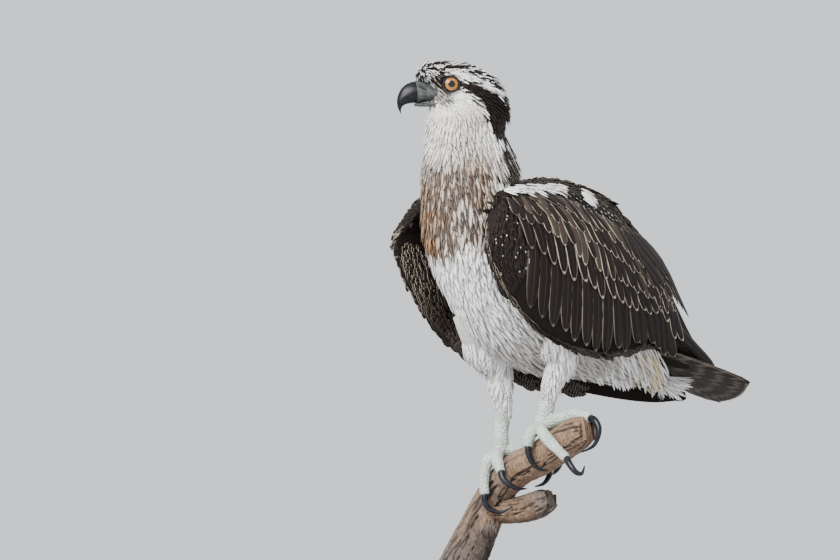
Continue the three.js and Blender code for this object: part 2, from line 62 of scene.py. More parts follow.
class Value:
    """A socket of a node tree, so that shader maths reads as Python."""

    def __init__(self, paint, socket):
        self.paint = paint
        self.socket = socket

    def maths(self, operation, *others):
        values = dict(enumerate((self, *others)))
        return self.paint.node("ShaderNodeMath", {"operation": operation}, values)

    def __add__(self, other):
        return self.maths("ADD", other)

    def __sub__(self, other):
        return self.maths("SUBTRACT", other)

    def __mul__(self, other):
        return self.maths("MULTIPLY", other)

    def __rsub__(self, other):
        return (self * -1) + other

    __radd__ = __add__
    __rmul__ = __mul__

    def clamp(self):
        return self.maths("MAXIMUM", 0).maths("MINIMUM", 1)

    def step(self, low, high):
        """0 below low, 1 above high, and straight between them."""
        return ((self - low) * (1 / (high - low))).clamp()


EVEN = (1, 1, 1)


class Paint:
    """A material that is built up from nodes."""

    def __init__(self, name, roughness=0.7, **constants):
        self.material = bpy.data.materials.new(name)
        self.material.use_nodes = True
        self.tree = self.material.node_tree
        self.shader = self.tree.nodes["Principled BSDF"]
        self.shader.inputs["Roughness"].default_value = roughness
        for key, value in constants.items():
            self.shader.inputs[key.replace("_", " ")].default_value = value

    def node(self, kind, settings=None, inputs=None, output=0):
        node = self.tree.nodes.new(kind)
        for key, value in (settings or {}).items():
            setattr(node, key, value)
        for key, value in (inputs or {}).items():
            if isinstance(value, Value):
                self.tree.links.new(value.socket, node.inputs[key])
            else:
                node.inputs[key].default_value = value
        return Value(self, node.outputs[output])

    def objects(self, scale=EVEN):
        """Object coordinates, stretched by scale."""
        place = self.node("ShaderNodeTexCoord", output="Object")
        return self.node("ShaderNodeMapping", {}, {"Vector": place, "Scale": scale})

    def noise(self, stretch, scale, detail=4, roughness=0.55, distortion=0):
        """Noise in object coordinates."""
        values = {"Scale": scale, "Detail": detail, "Roughness": roughness, "Distortion": distortion}
        return self.node("ShaderNodeTexNoise", {}, {"Vector": self.objects(stretch), **values})

    def attribute(self, name):
        return self.node("ShaderNodeAttribute", {"attribute_name": name}, output="Color")

    def parts(self, colour):
        """The red, green and blue of a colour."""
        split = self.node("ShaderNodeSeparateColor", {}, {"Color": colour})
        return [Value(self, socket) for socket in split.socket.node.outputs]

    def mix(self, first, second, factor):
        mix = self.node("ShaderNodeMix", {"data_type": "RGBA"}, {"Factor": factor})
        for index, value in ((6, first), (7, second)):
            if isinstance(value, Value):
                self.tree.links.new(value.socket, mix.socket.node.inputs[index])
            else:
                mix.socket.node.inputs[index].default_value = (*value, 1)
        return Value(self, mix.socket.node.outputs[2])

    def colour(self, first, second, factor):
        """The base colour, mixed from two."""
        self.link("Base Color", self.mix(first, second, factor))

    def bump(self, height, distance, strength=1.0):
        values = {"Height": height, "Distance": distance, "Strength": strength}
        self.link("Normal", self.node("ShaderNodeBump", {}, values))

    def link(self, key, value):
        self.tree.links.new(value.socket, self.shader.inputs[key])

    def put_on(self, obj):
        obj.data.materials.clear()
        obj.data.materials.append(self.material)


wood = Paint("stained_wood", 0.4, Coat_Weight=0.3, Coat_Roughness=0.2)
grain = wood.noise((8, 60, 60), 3, 6, 0.6, 0.8)
wood.colour((0.018, 0.009, 0.005), (0.075, 0.036, 0.018), grain.step(0.3, 0.7))
wood.link("Roughness", grain * 0.25 + 0.3)
wood.bump(grain, 0.0006, 0.4)
wood.put_on(frame["nodes"]["stand_base"])

steel = Paint("turned_steel", 0.3, Metallic=1.0)
rings = steel.noise((20, 20, 2500), 1, 2)
steel.colour((0.42, 0.43, 0.44), (0.6, 0.61, 0.62), rings)
steel.link("Roughness", rings * 0.2 + 0.22)
steel.bump(rings, 0.0001, 0.3)
for rod in ("stand_rod_1", "stand_rod_2"):
    steel.put_on(frame["nodes"][rod])


# Perch: a cut length of dead branch, split and broken at the top, with a broken stub below the feet.
# Weathered tan wood with long cracks above, painted near-black as shade along their depth, grey-brown bark
# towards the cut end. Lofted in numpy.

SHIFT = np.array([35.0, -10.0, 0.0])  # the bird's own frame to the row frame, in mm
MM = 0.001


def smooth_rows(rows, at):
    """Catmull-Rom curve through the rows of numbers, where at runs from 0 to 1. Adds a last axis."""
    rows = np.asarray(rows, float)
    last = len(rows) - 1
    place = np.clip(at, 0, 1) * last
    k = np.minimum(place.astype(int), last - 1)
    f = (place - k)[..., None]
    before, here = rows[np.maximum(k - 1, 0)], rows[k]
    after, beyond = rows[k + 1], rows[np.minimum(k + 2, last)]
    a, b = (after - before) / 2, (beyond - here) / 2
    return here + f * (a + f * (3 * (after - here) - 2 * a - b + f * (2 * (here - after) + a + b)))


def unit(vectors):
    return vectors / np.maximum(np.linalg.norm(vectors, axis=-1, keepdims=True), 1e-9)


def with_alpha(values):
    return np.concatenate([values, np.ones(values.shape[:-1] + (1,))], -1).reshape(-1, 4)


def mesh_object(name, points, faces, attributes=None, bake_uv=None):
    """An object from points in mm in the bird's frame, faces of four corners, and colours at the points."""
    points = points.reshape(-1, 3)
    mesh = bpy.data.meshes.new(name)
    mesh.vertices.add(len(points))
    mesh.vertices.foreach_set("co", ((points + SHIFT) * MM).astype(np.float32).ravel())
    mesh.loops.add(faces.size)
    mesh.loops.foreach_set("vertex_index", faces.astype(np.int32).ravel())
    mesh.polygons.add(len(faces))
    mesh.polygons.foreach_set("loop_start", np.arange(0, faces.size, 4, dtype=np.int32))
    mesh.update(calc_edges=True)
    for key, values in (attributes or {}).items():
        layer = mesh.color_attributes.new(key, "FLOAT_COLOR", "POINT")
        layer.data.foreach_set("color", with_alpha(values).astype(np.float32).ravel())
    if bake_uv is not None:
        layer = mesh.uv_layers.new(name="OFBake")
        layer.data.foreach_set("uv", bake_uv[faces.ravel()].astype(np.float32).ravel())
    mesh.polygons.foreach_set("use_smooth", np.ones(len(faces), bool))
    mesh.validate()
    obj = bpy.data.objects.new(name, mesh)
    bpy.context.scene.collection.objects.link(obj)
    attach(obj, "root")
    return obj


def tube_faces(rings, around, tubes=1):
    """Faces of closed tubes of rings by around points: sides, then caps of four-cornered faces."""
    ring, side = np.meshgrid(np.arange(rings - 1), np.arange(around), indexing="ij")
    here = ring * around + side
    there = ring * around + (side + 1) % around
    sides = np.stack([here, there, there + around, here + around], -1).reshape(-1, 4)
    k = np.arange(around // 2 - 1)
    cap = np.stack([0 * k + around - 1 - k, 0 * k + around - 2 - k, k + 1, k], -1)
    caps = np.concatenate([cap, cap[:, ::-1] + (rings - 1) * around])
    one = np.concatenate([sides, caps])
    return (one[None] + (np.arange(tubes) * rings * around)[:, None, None]).reshape(-1, 4)


def round_grid(low, high, rings, around):
    """Two grids: places from low to high along a form, and angles all round it."""
    turns = np.linspace(0, 2 * math.pi, around, False)
    return np.meshgrid(np.linspace(low, high, rings), turns, indexing="ij")


def bar_points(rows, at, angle, swell=0.0):
    """Centre line at plus the radius in the direction angle round it, in mm. Swell adds to the radius."""
    row = smooth_rows(rows, at)
    step = 0.02
    axis = unit(smooth_rows(rows, at + step)[..., :3] - smooth_rows(rows, at - step)[..., :3])
    span = np.array(rows[-1][:3], float) - np.array(rows[0][:3], float)
    steep = abs(span[2]) > 0.7 * np.linalg.norm(span)
    guide = np.array([0.0, 1.0, 0.0]) if steep else np.array([0.0, 0.0, 1.0])
    side = unit(np.cross(guide, axis))
    top = np.cross(axis, side)
    radius = (row[..., 3] + swell)[..., None]
    return row[..., :3] + radius * (side * np.cos(angle)[..., None] + top * np.sin(angle)[..., None])


def wobble(points, size, seed):
    """Smooth made-up unevenness from 0 to 1 at points, a sum of seeded sine waves about size apart."""
    rng = np.random.default_rng(seed)
    total = np.zeros(points.shape[:-1])
    for octave in range(4):
        for _ in range(4):
            wave = rng.normal(size=3) * 2 ** octave * 2.2 / size
            total += np.sin(points @ wave + rng.uniform(0, 2 * math.pi)) / 2 ** (octave * 0.8)
    return 0.5 + total / 12


BRANCH = [(84, -3, 229, 13), (70, -3, 225, 16.5), (44, -3, 214, 17), (16, -3, 202, 17), (-12, -3, 193, 17),
          (-36, -3, 179, 17.5), (-54, -3, 160, 18), (-69, -3, 138, 20), (-86, -3, 113, 22),
          (-106, -3, 84, 23.5), (-118, -3, 66, 23.5)]
STUB = [(-52, -3, 152, 13), (-34, 1, 151, 13), (-14, 6, 153, 14), (4, 10, 158, 14), (14, 13, 162, 10)]
KNOT = [(-50, -8, 140, 10), (-44, -14, 134, 10), (-38, -20, 129, 8)]


def wood_piece(name, rows, rings, around, seed, splinter):
    """A branch: a bar whose radius has long cracks and lumps, with splinters drawn out of one end.
    Splinter is their length in mm, above 0 for the first end and below 0 for the last."""
    at, angle = round_grid(0, 1, rings, around)
    length = np.linalg.norm(np.diff(np.asarray(rows, float)[:, :3], axis=0), axis=1).sum()
    strip = np.stack([np.cos(angle) * 20, np.sin(angle) * 20, at * length * 0.12], -1)
    crack = np.abs(wobble(strip, 14, seed) - 0.5)
    swell = -2.6 * np.exp(-(crack / 0.022) ** 2) + 2.4 * (wobble(strip, 30, seed + 1) - 0.5)
    lumps = 1.5 * (wobble(bar_points(rows, at, angle, swell), 9, seed + 2) - 0.5)
    points = bar_points(rows, at, angle, swell + lumps)
    from_end, tip, inner = (at, 0, 1) if splinter > 0 else (1 - at, -1, -2)
    ends = np.clip(1 - from_end * length / 16, 0, 1)
    reach = unit(np.array(rows[tip][:3], float) - np.array(rows[inner][:3], float))
    ragged = (wobble(strip * [1, 1, 0] + [0, 0, seed], 7, seed + 3) - 0.45) * abs(splinter)
    points = points + (ends * ragged)[..., None] * reach
    # Painted shade in the cracks: darkest where a crack is deepest.
    depth = np.exp(-(crack / 0.03) ** 2)
    marks = np.stack([depth, wobble(points, 40, seed + 4), at], -1)
    return mesh_object(name, points, tube_faces(rings, around), {"marks": marks})


bark = Paint("dead_wood", 0.85)
painted_crack_shade, patch, along = bark.parts(bark.attribute("marks"))
fibre = bark.noise((70, 70, 30), 6, 8, 0.65, 0.6)
streak = bark.noise((260, 260, 60), 3, 6, 0.6, 0.4)
fresh = bark.mix((0.09, 0.050, 0.028), (0.27, 0.172, 0.105), fibre.step(0.35, 0.65))
aged = bark.mix((0.06, 0.046, 0.037), (0.17, 0.128, 0.10), fibre.step(0.35, 0.65))
surface = bark.mix(fresh, aged, (along + patch - 0.5).step(0.35, 0.7))
surface = bark.mix(surface, (0.05, 0.03, 0.02), streak.step(0.56, 0.72) * 0.7)
# The cracks are painted near-black as shade, by their depth.
bark.colour(surface, (0.018, 0.011, 0.008), painted_crack_shade)
bark.bump(fibre * 0.6 + streak, 0.0016, 0.8)
perch = wood_piece("perch_branch_wood", BRANCH, 360, 120, 11, 9)
stub = wood_piece("perch_stub_wood", STUB, 120, 72, 23, -12)
knot = wood_piece("perch_knot_wood", KNOT, 60, 60, 31, -6)
for piece in (perch, stub, knot):
    bark.put_on(piece)
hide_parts("perch_branch")


# Feet: pale grey-green toes with rows of small hard scales, and black hooked claws, one piece each.
# Toes are bars on the solids' own paths, fused by a fine remesh; claws are tapered bars.

SHANK_LEFT = [(34, -4.5, 270, 7.4), (29, -5.5, 252, 7.8), (24, -6.5, 238, 8.4), (22, -7, 229, 9.5)]
SHANK_RIGHT = [(-36, -3, 256, 7.4), (-36, -5, 238, 7.6), (-36, -6.5, 222, 8), (-36, -7, 209, 9.5)]
TOES_LEFT = [
    [(22, -8, 231, 7), (23, -18, 229, 6.4), (24.5, -26, 220, 5.8), (25.5, -28, 212, 4.6)],
    [(23, -8, 231, 7), (33, -18, 231, 6.4), (52, -26, 219, 5.8), (80, -27, 199, 4.8)],
    [(24, -5, 233, 7.5), (42, -2, 240, 7), (64, 0, 244, 6.6), (86, 0, 240, 5)],
    [(23, -4, 230, 7), (24, 8, 231, 6.4), (22, 20, 222, 5.8), (21, 23, 210, 4.6)]]
TOES_RIGHT = [
    [(-36, -9, 210, 7), (-39, -20, 201, 6.4), (-39, -27, 184, 5.8), (-37, -27, 166, 4.8)],
    [(-35, -9, 209, 7), (-29, -18, 205, 6.4), (-19, -26, 197, 5.8), (-12.5, -28, 188, 4.6)],
    [(-35, -6, 210, 7), (-26, 6, 211, 6.6), (-12, 18, 206, 5.8), (0, 22, 196, 4.6)],
    [(-36, -6, 209, 7), (-42, 8, 203, 6.4), (-49, 19, 190, 5.8), (-54, 22, 174, 4.6)]]
CLAWS_LEFT = [
    [(25.5, -28, 214, 3.6), (26.5, -28, 206, 3.3), (28, -25, 198, 2.7), (32, -19, 191, 1.8),
     (37, -11, 189, 0.6)],
    [(78, -27, 201, 3.6), (86, -29, 193, 3.3), (92, -27, 186, 2.7), (93, -20, 185, 1.8), (88, -11, 193, 0.6)],
    [(84, 0, 240, 3.8), (93, -1, 237, 3.5), (99, -2, 227, 2.8), (95, -5, 213, 1.9), (80, -9, 206, 0.6)],
    [(21, 23, 212, 3.6), (20, 24, 203, 3.3), (19, 21, 194, 2.7), (20, 14, 188, 1.8), (24, 6, 186, 0.6)]]
CLAWS_RIGHT = [
    [(-37, -27, 168, 3.6), (-36, -28, 159, 3.3), (-32, -25, 152, 2.7), (-24, -18, 149, 1.8),
     (-15, -10, 155, 0.6)],
    [(-13, -28, 190, 3.6), (-9, -29, 182, 3.3), (-3, -26, 176, 2.7), (3, -20, 172, 1.8), (8, -12, 172, 0.6)],
    [(-1, 22, 197, 3.6), (6, 21, 190, 3.3), (10, 15, 183, 2.7), (11, 7, 177, 1.8), (9, -3, 174, 0.6)],
    [(-54, 22, 176, 3.6), (-56, 22, 166, 3.3), (-55, 18, 156, 2.7), (-51, 10, 149, 1.8), (-46, 2, 147, 0.6)]]


def bar_grid(rows, rings, around, joints=0.0):
    """A closed bar with rounded ends. Joints adds soft pads along it, in mm."""
    at, angle = round_grid(0, 1, rings, around)
    radius = smooth_rows(rows, at)[..., 3]
    end = np.clip(np.minimum(at, 1 - at) * rings / 3, 0, 1)
    swell = radius * (np.sqrt(1 - (1 - end) ** 2) * 0.95 + 0.05 - 1) + joints * np.cos(at * 6 * math.pi) * end
    return bar_points(rows, at, angle, swell).reshape(-1, 3)


def joined(grids, rings, around):
    """The points and faces of several bars of one size, as one list each."""
    return np.concatenate(grids), tube_faces(rings, around, len(grids))


skin = Paint("scaled_skin", 0.5)
cells = {"Vector": skin.objects(), "Scale": 300.0}
edge = skin.node("ShaderNodeTexVoronoi", {"feature": "DISTANCE_TO_EDGE"}, cells, "Distance")
shade = skin.noise(EVEN, 55, 4)
pale = skin.mix((0.36, 0.42, 0.36), (0.60, 0.66, 0.58), shade.step(0.35, 0.65))
skin.colour((0.36, 0.38, 0.34), pale, edge.step(0.0, 0.16))
skin.link("Roughness", edge.step(0, 0.2) * -0.25 + 0.7)
skin.bump(edge.step(0, 0.25), 0.0009, 0.9)

horn = Paint("claw_horn", 0.28, Specular_IOR_Level=0.22)
horn_shade = horn.noise((90, 90, 300), 1, 5)
horn.colour((0.003, 0.0035, 0.005), (0.015, 0.0165, 0.02), horn_shade.step(0.3, 0.7))
horn.bump(horn_shade, 0.0003, 0.4)

BAR_SIZE = (40, 24)  # rings, and points round each
TOE_PADS = 0.35
FOOT_PARTS = {"left": (SHANK_LEFT, TOES_LEFT, CLAWS_LEFT), "right": (SHANK_RIGHT, TOES_RIGHT, CLAWS_RIGHT)}
for side, (shank, toes, claws) in FOOT_PARTS.items():
    points, faces = joined([bar_grid(rows, *BAR_SIZE, TOE_PADS) for rows in (shank, *toes)], *BAR_SIZE)
    foot = mesh_object(f"foot_{side}_skin", points, faces)
    remesh = foot.modifiers.new("fuse", "REMESH")
    remesh.mode = "VOXEL"
    remesh.voxel_size = 0.0009
    remesh.use_smooth_shade = True
    skin.put_on(foot)
    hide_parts(f"foot_{side}")
    for number, rows in enumerate(claws, 1):
        claw = mesh_object(f"claw_{side}_{number}_horn", bar_grid(rows, *BAR_SIZE), tube_faces(*BAR_SIZE))
        horn.put_on(claw)
        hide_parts(f"claw_{side}_{number}")


# Skin: one closed surface under the coat, from the tail's root to the crown, with both thighs.
# It lies inside the solids by the coat's depth and carries the coat's own colours.

NECK_AXIS_Y = -93
HEAD_TURN = -31
BODY = [
    (186, 292, 178, 316, 6, 0, 0), (160, 284, 168, 336, 24, 0, 0), (122, 282, 150, 376, 36, 0, 0),
    (78, 283, 118, 420, 46, 0, 0), (32, 285, 84, 448, 54, 0, 0.02), (-16, 292, 46, 465, 58, 0, 0.04),
    (-58, 312, 6, 472, 59, 0, 0.05), (-92, 346, -24, 477, 58, 0, 0.05), (-117, 386, -40, 483, 56, 0, 0.04),
    (-131, 424, -38, 491, 52, 0, 0.02), (-137, 458, -34, 503, 46, -4, 0), (-137, 488, -40, 515, 40, -12, 0),
    (-135, 512, -46, 528, 35, -22, 0.05), (-133, 532, -46, 541, 31, -29, 0.15),
    (-131, 548, -46, 552, 28.5, -31, 0.3), (-132, 560, -49, 563, 28.5, -31, 0.36),
    (-136, 570, -55, 573, 27.5, -31, 0.3), (-143, 579, -64, 581.5, 25, -31, 0.2),
    (-141, 586, -75, 587.5, 19.5, -31, 0.12), (-131, 590.5, -88, 591.5, 11, -31, 0.05),
    (-112, 592.2, -102, 592.4, 3, -31, 0)]
THIGH_LEFT = [(32, -6, 352, 24), (34, 2, 325, 23), (36, 6, 305, 19), (37, 1, 292, 14.5), (34.5, -4, 276, 12),
              (31.5, -5.5, 257, 9.4)]
THIGH_RIGHT = [(-36, -34, 350, 32), (-37, -24, 322, 28), (-37, -12, 299, 19), (-36, -7, 278, 15),
               (-36, -3, 257, 11.4), (-36, -4, 241, 9.2)]


def turned(points, degrees):
    """The points turned about the neck's upright axis."""
    angle = np.radians(degrees)
    x, y = points[..., 0], points[..., 1] - NECK_AXIS_Y
    turned_x = x * np.cos(angle) - y * np.sin(angle)
    turned_y = x * np.sin(angle) + y * np.cos(angle) + NECK_AXIS_Y
    return np.stack([turned_x, turned_y, points[..., 2]], -1)


def body_points(at, angle, spare=0.0):
    """Front-to-back ellipses: middle + reach cos(angle), half width sin(angle), then the head's turn."""
    row = smooth_rows(BODY, at)
    front = np.stack([0 * at, row[..., 0], row[..., 1]], -1)
    back = np.stack([0 * at, row[..., 2], row[..., 3]], -1)
    reach = (front - back) / 2
    depth = np.linalg.norm(reach, axis=-1)
    ahead = np.cos(angle)
    points = (front + back) / 2 + reach * (ahead * (depth + spare) / depth)[..., None]
    points[..., 0] = np.sin(angle) * (1 - row[..., 6] * ahead) * (row[..., 4] + spare)
    return turned(points, row[..., 5])


def head_place(points):
    """Each point in the head's frame: ahead along the bill, aside to its left, and height."""
    local = turned(points, -HEAD_TURN)
    return NECK_AXIS_Y - local[..., 1], local[..., 0], points[..., 2]


def blend(first, second, amount):
    return first + (second - first) * np.clip(amount, 0, 1)[..., None]


def ramp(value, low, high):
    """0 below low, 1 above high, smoothly between."""
    x = np.clip((value - low) / (high - low), 0, 1)
    return x * x * (3 - 2 * x)


WHITE = np.array([0.93, 0.915, 0.885])
UNDERSIDE_SHADE = np.array([0.40, 0.36, 0.32])
BUFF = np.array([0.30, 0.21, 0.145])
LORES = np.array([0.10, 0.088, 0.08])
THROAT = np.array([0.45, 0.39, 0.32])
ORANGE_BUFF = np.array([0.48, 0.25, 0.10])
BROWN = np.array([0.0105, 0.0072, 0.0056])


def body_colours(points, rng):
    """The osprey's markings at points, with painted shade on the lower belly: a colour, and marks for streak,
    pale edge and a random number.
    """
    ahead, aside, z = head_place(points)
    chance = rng.uniform(size=z.shape)
    patches = wobble(points, 34, 5) - 0.5
    # Painted shade: the white turns warm grey down the lower belly and vent.
    colour = blend(WHITE, UNDERSIDE_SHADE, ramp(-z, -370, -305) * 0.85)
    throat = ramp(z, 400, 450) * ramp(-z, -562, -540) * ramp(ahead + patches * 30, -30, 0)
    colour = blend(colour, THROAT, throat * (0.6 + patches))
    low_edge = 406 + 0.5 * np.abs(points[..., 0] - 4)
    band = ramp(z + patches * 16 - low_edge, -3, 9) * (1 - ramp(z, 490, 520))
    band = band * ramp(ahead + patches * 30, -40, -16)
    colour = blend(colour, blend(BUFF, ORANGE_BUFF, 2.8 * patches), band * (0.8 + 0.9 * patches))
    streak = band * (chance > 0.35) + 0.5 * ramp(z, 500, 520) * ramp(-z, -545, -525) * (chance > 0.9)
    grain = wobble(np.stack([ahead * 0.13, aside, z], -1), 2.4, 9) - 0.5
    stripe_z = np.interp(ahead, [-45, -35, -22, -6, 12, 30], [535, 540, 549, 564, 570, 574])
    stripe_half = np.interp(ahead, [-45, -22, -6, 6, 20, 30, 38], [18, 15, 7, 5, 10, 8, 2])
    stripe = ramp(stripe_half - np.abs(z - stripe_z) + grain * 14, -1.5, 1.5) * ramp(z, 500, 530)
    brow_z = np.interp(ahead, [-35, -21, 0, 17, 33, 48], [556, 569, 578, 582.5, 581, 575])
    crown = ramp(z - brow_z, 0, 3) * ramp(z, 552, 566)
    nape = ramp(-ahead + grain * 20, 26, 34) * ramp(z, 470, 490) * (0.45 + 0.55 * (grain > -0.06))
    back_z = np.interp(points[..., 1], [-44, 46, 84, 118, 150, 178], [479, 430, 398, 352, 318, 290])
    back = ramp(z - back_z + patches * 10, -4, 12) * ramp(-z, -505, -485)
    back = back * ramp(-ahead, 18, 34)
    dark = np.clip(stripe + nape + back + crown * (grain > -0.05), 0, 1)
    colour = blend(colour, BROWN, dark)
    lores = ramp(ahead, 15, 23) * ramp(z, 550, 557) * ramp(-z, -588, -576) * (1 - dark)
    colour = blend(colour, LORES, lores * (0.7 + 0.8 * (grain > 0)))
    edge = dark * np.clip(back + 0.5 * nape, 0, 1)
    streak = streak * (1 - dark)
    colour = colour * (0.9 + 0.2 * rng.uniform(size=z.shape))[..., None]
    return colour, np.stack([streak, edge, rng.uniform(size=z.shape)], -1)


SKIN_DEPTH = 5.0
THIGH_DEPTH = 3.5
SKIN_RINGS, SKIN_AROUND = 160, 96
at, angle = round_grid(0, 1, SKIN_RINGS, SKIN_AROUND)
body_skin = body_points(at, angle, -SKIN_DEPTH * np.clip(at * 12, 0, 1)).reshape(-1, 3)
thigh_grids = []
for rows in (THIGH_LEFT, THIGH_RIGHT):
    inner_rows = [(*row[:3], row[3] - THIGH_DEPTH) for row in rows]
    thigh_grids.append(bar_grid(inner_rows, SKIN_RINGS, SKIN_AROUND))
points, faces = joined([body_skin, *thigh_grids], SKIN_RINGS, SKIN_AROUND)
colours, marks = body_colours(points, np.random.default_rng(3))
flesh = mesh_object("body_skin", points, faces, {"tint": colours, "marks": marks})
down = Paint("down_skin", 0.9, Specular_IOR_Level=0.12)
fluff = down.noise((1, 1, 0.4), 500, 4)
down.colour((0.02, 0.016, 0.014), down.attribute("tint"), fluff * 0.3 + 0.68)
down.bump(fluff, 0.001, 0.6)
down.put_on(flesh)
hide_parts("torso", "neck", "head", "thigh_left", "thigh_right")


# Wings: a thin closed blade each, under tiers of overlapping vanes: small coverts in front, then median and
# greater coverts, secondaries, tertials and primaries. Dark brown with cream edges, white where fluffed up.

LEFT_WING = [
    (44, -90, 463, 51, -108, 437, 6, 5), (38, -58, 474, 58, -114, 402, 13, 8),
    (28, 0, 481, 61, -96, 366, 22, 8),
    (21, 50, 477, 60, -58, 333, 25, 7.5), (18, 88, 467, 59, -15, 315, 24, 7),
    (16, 120, 446, 56, 32, 307, 21, 6),
    (15, 149, 424, 50, 76, 309, 17, 5), (15, 169, 403, 42, 118, 317, 13, 4),
    (15, 193, 367, 33, 154, 311, 8, 3.2),
    (14, 217, 335, 24, 196, 305, 4, 2.6), (14, 236, 314, 19, 226, 300, 2, 2),
    (15, 251, 301, 16, 247, 298, 0, 1.2)]
RIGHT_WING = [
    (-46, -86, 450, -61, -111, 433, 5, 5), (-40, -50, 474, -73, -117, 416, 10, 8),
    (-30, 2, 478, -75, -103, 384, 18, 8), (-22, 50, 472, -75, -76, 350, 22, 7.5),
    (-19, 86, 460, -73, -42, 319, 23, 7), (-17, 115, 438, -69, -4, 299, 21, 6),
    (-17, 142, 410, -61, 39, 286, 17, 5), (-17, 162, 385, -50, 96, 276, 12, 4),
    (-17, 186, 345, -37, 160, 267, 8, 3.2), (-16, 208, 312, -26, 200, 264, 4, 2.6),
    (-15, 226, 288, -19, 226, 266, 2, 2), (-15, 242, 271, -15, 239, 268, 0, 1.2)]
WINGS = {"left": (LEFT_WING, 1), "right": (RIGHT_WING, -1)}


def wing_points(rows, side, at, angle, spare=0.0):
    """An arched lens: chord place -cos(angle) across, arch cos(place) and thickness sin(angle) outwards."""
    row = smooth_rows(rows, at)
    across = row[..., 3:6] - row[..., :3]
    width = np.linalg.norm(across, axis=-1)
    across = across / width[..., None]
    along = unit(smooth_rows(rows, at + 0.03)[..., :3] - smooth_rows(rows, at - 0.03)[..., :3])
    out = unit(np.cross(across, along) * side)
    place = -np.cos(angle)
    rise = row[..., 6] * np.cos(place * math.pi / 2) + (row[..., 7] + spare) * np.sin(angle)
    middle = (row[..., :3] + row[..., 3:6]) / 2
    return middle + across * (place * (width / 2 + spare))[..., None] + out * rise[..., None]


def surface_frame(surface, at, angle):
    """Points of a closed surface with its outward normals and its two unit directions, along and round."""
    step = 1e-3
    points = surface(at, angle)
    along = surface(at + step, angle) - surface(at - step, angle)
    around = surface(at, angle + step) - surface(at, angle - step)
    normal = unit(np.cross(around, along))
    outward = points - surface(at, angle + math.pi)
    normal = normal * np.sign((normal * outward).sum(-1, keepdims=True))
    return points, normal, unit(along), unit(around)


def lattice(surface, low, high, spacing, rng):
    """Staggered, jittered root places on a surface: rows a spacing apart, each round its own girth."""
    steps = np.linspace(low, high, 200)
    turns = np.linspace(0, 2 * math.pi, 60)
    grid = surface(*np.meshgrid(steps, turns, indexing="ij"))
    girth = np.linalg.norm(np.diff(grid, axis=1), axis=-1).sum(1)
    travel = np.linalg.norm(np.diff(grid, axis=0), axis=-1).max(1)
    rows = np.concatenate([[0], np.cumsum(travel / spacing(steps[1:]) / 0.85)])
    found = []
    for number in range(int(rows[-1])):
        at = np.interp(number, rows, steps)
        count = max(3, int(np.interp(at, steps, girth) / spacing(at)))
        turn = (np.arange(count) + 0.5 * (number % 2) + rng.uniform(-0.3, 0.3, count)) / count * 2 * math.pi
        row_shift = rng.uniform(-0.35, 0.35, count) * (steps[-1] - steps[0]) / rows[-1]
        found.append(np.stack([at + row_shift, turn], -1))
    return np.concatenate(found).T


VANE_STATIONS = np.array([0, 0.2, 0.45, 0.7, 0.88, 1.0])
VANE_WIDTHS = np.array([0.35, 0.8, 1.0, 0.95, 0.62, 0.1])
SMALL_SECTION = np.array([(-1, 0), (0, 0.5), (1, 0), (0, -0.5)])
LARGE_SECTION = np.array([(-1, 0), (-0.45, 0.35), (0, 0.6), (0.45, 0.35), (1, 0), (0, -0.5)])


def vanes(name, section, centre, side, normal, half_width, thickness, camber, tint, marks, bake_root,
          stations, rng):
    """Closed feathers: at each station of a centre line, a flat section that droops at its edges."""
    count, rings = half_width.shape
    lateral, height = section[:, 0], section[:, 1]
    droop = camber * lateral ** 2 * half_width[..., None]
    points = centre[:, :, None] + side[:, :, None] * (lateral * half_width[..., None])[..., None]
    points = points + normal[:, :, None] * (height * thickness[..., None] - droop)[..., None]
    shape = (count, rings, len(section))
    number = np.broadcast_to(rng.uniform(size=count)[:, None, None], shape)
    across = np.broadcast_to((lateral + 1) / 2, shape)
    along = np.broadcast_to(stations[None, :, None], shape)
    spread = np.broadcast_to(np.concatenate([tint, marks], -1)[:, None, None, :], shape + (6,))
    vane = np.stack([across, along, number], -1)
    attributes = {"vane": vane, "tint": spread[..., :3], "marks": spread[..., 3:]}
    patch = np.stack([across - 0.5, along - 0.5], -1) * 0.003
    bake = (bake_root[:, None, None, :] + patch).reshape(-1, 2)
    obj = mesh_object(name, points, tube_faces(rings, len(section), count), attributes, bake)
    plumage.put_on(obj)
    return obj


def lay(name, surface, roots, flow, length, half_width, lift, bend, tint, marks, rng):
    """Short feathers on a surface: each leaves its sunk root along the flow, lifts and bends with it."""
    at, angle = roots
    points, normal, _, _ = surface_frame(surface, at, angle)
    way = flow(points, at, angle)
    way = way + 0.1 * rng.normal(size=way.shape)
    way = unit(way - normal * (way * normal).sum(-1, keepdims=True))
    side = np.cross(normal, way)
    v = VANE_STATIONS[None, :, None]
    lift = (lift * rng.uniform(0.75, 1.25, at.shape))[:, None, None]
    reach = length[:, None, None] * v
    sink = 1.5
    rise = lift * reach - reach ** 2 / (2 * bend) - sink
    sway = (rng.normal(size=at.shape) * 0.06)[:, None, None] * reach * v
    centre = points[:, None] + way[:, None] * reach + normal[:, None] * rise + side[:, None] * sway
    facing = unit(normal[:, None] + way[:, None] * (reach / bend - lift))
    roll = (rng.normal(size=at.shape) * 0.07)[:, None, None]
    across = unit(side[:, None] + facing * roll)
    width = half_width[:, None] * VANE_WIDTHS
    thickness = np.broadcast_to(np.array([0.6, 0.6, 0.55, 0.45, 0.3, 0.1]), width.shape)
    bake_root = np.stack([(angle / (2 * math.pi)) % 1, at], -1) * 0.99
    return vanes(name, SMALL_SECTION, centre, across, facing, width, thickness, 0.12, tint, marks, bake_root,
                 VANE_STATIONS, rng)


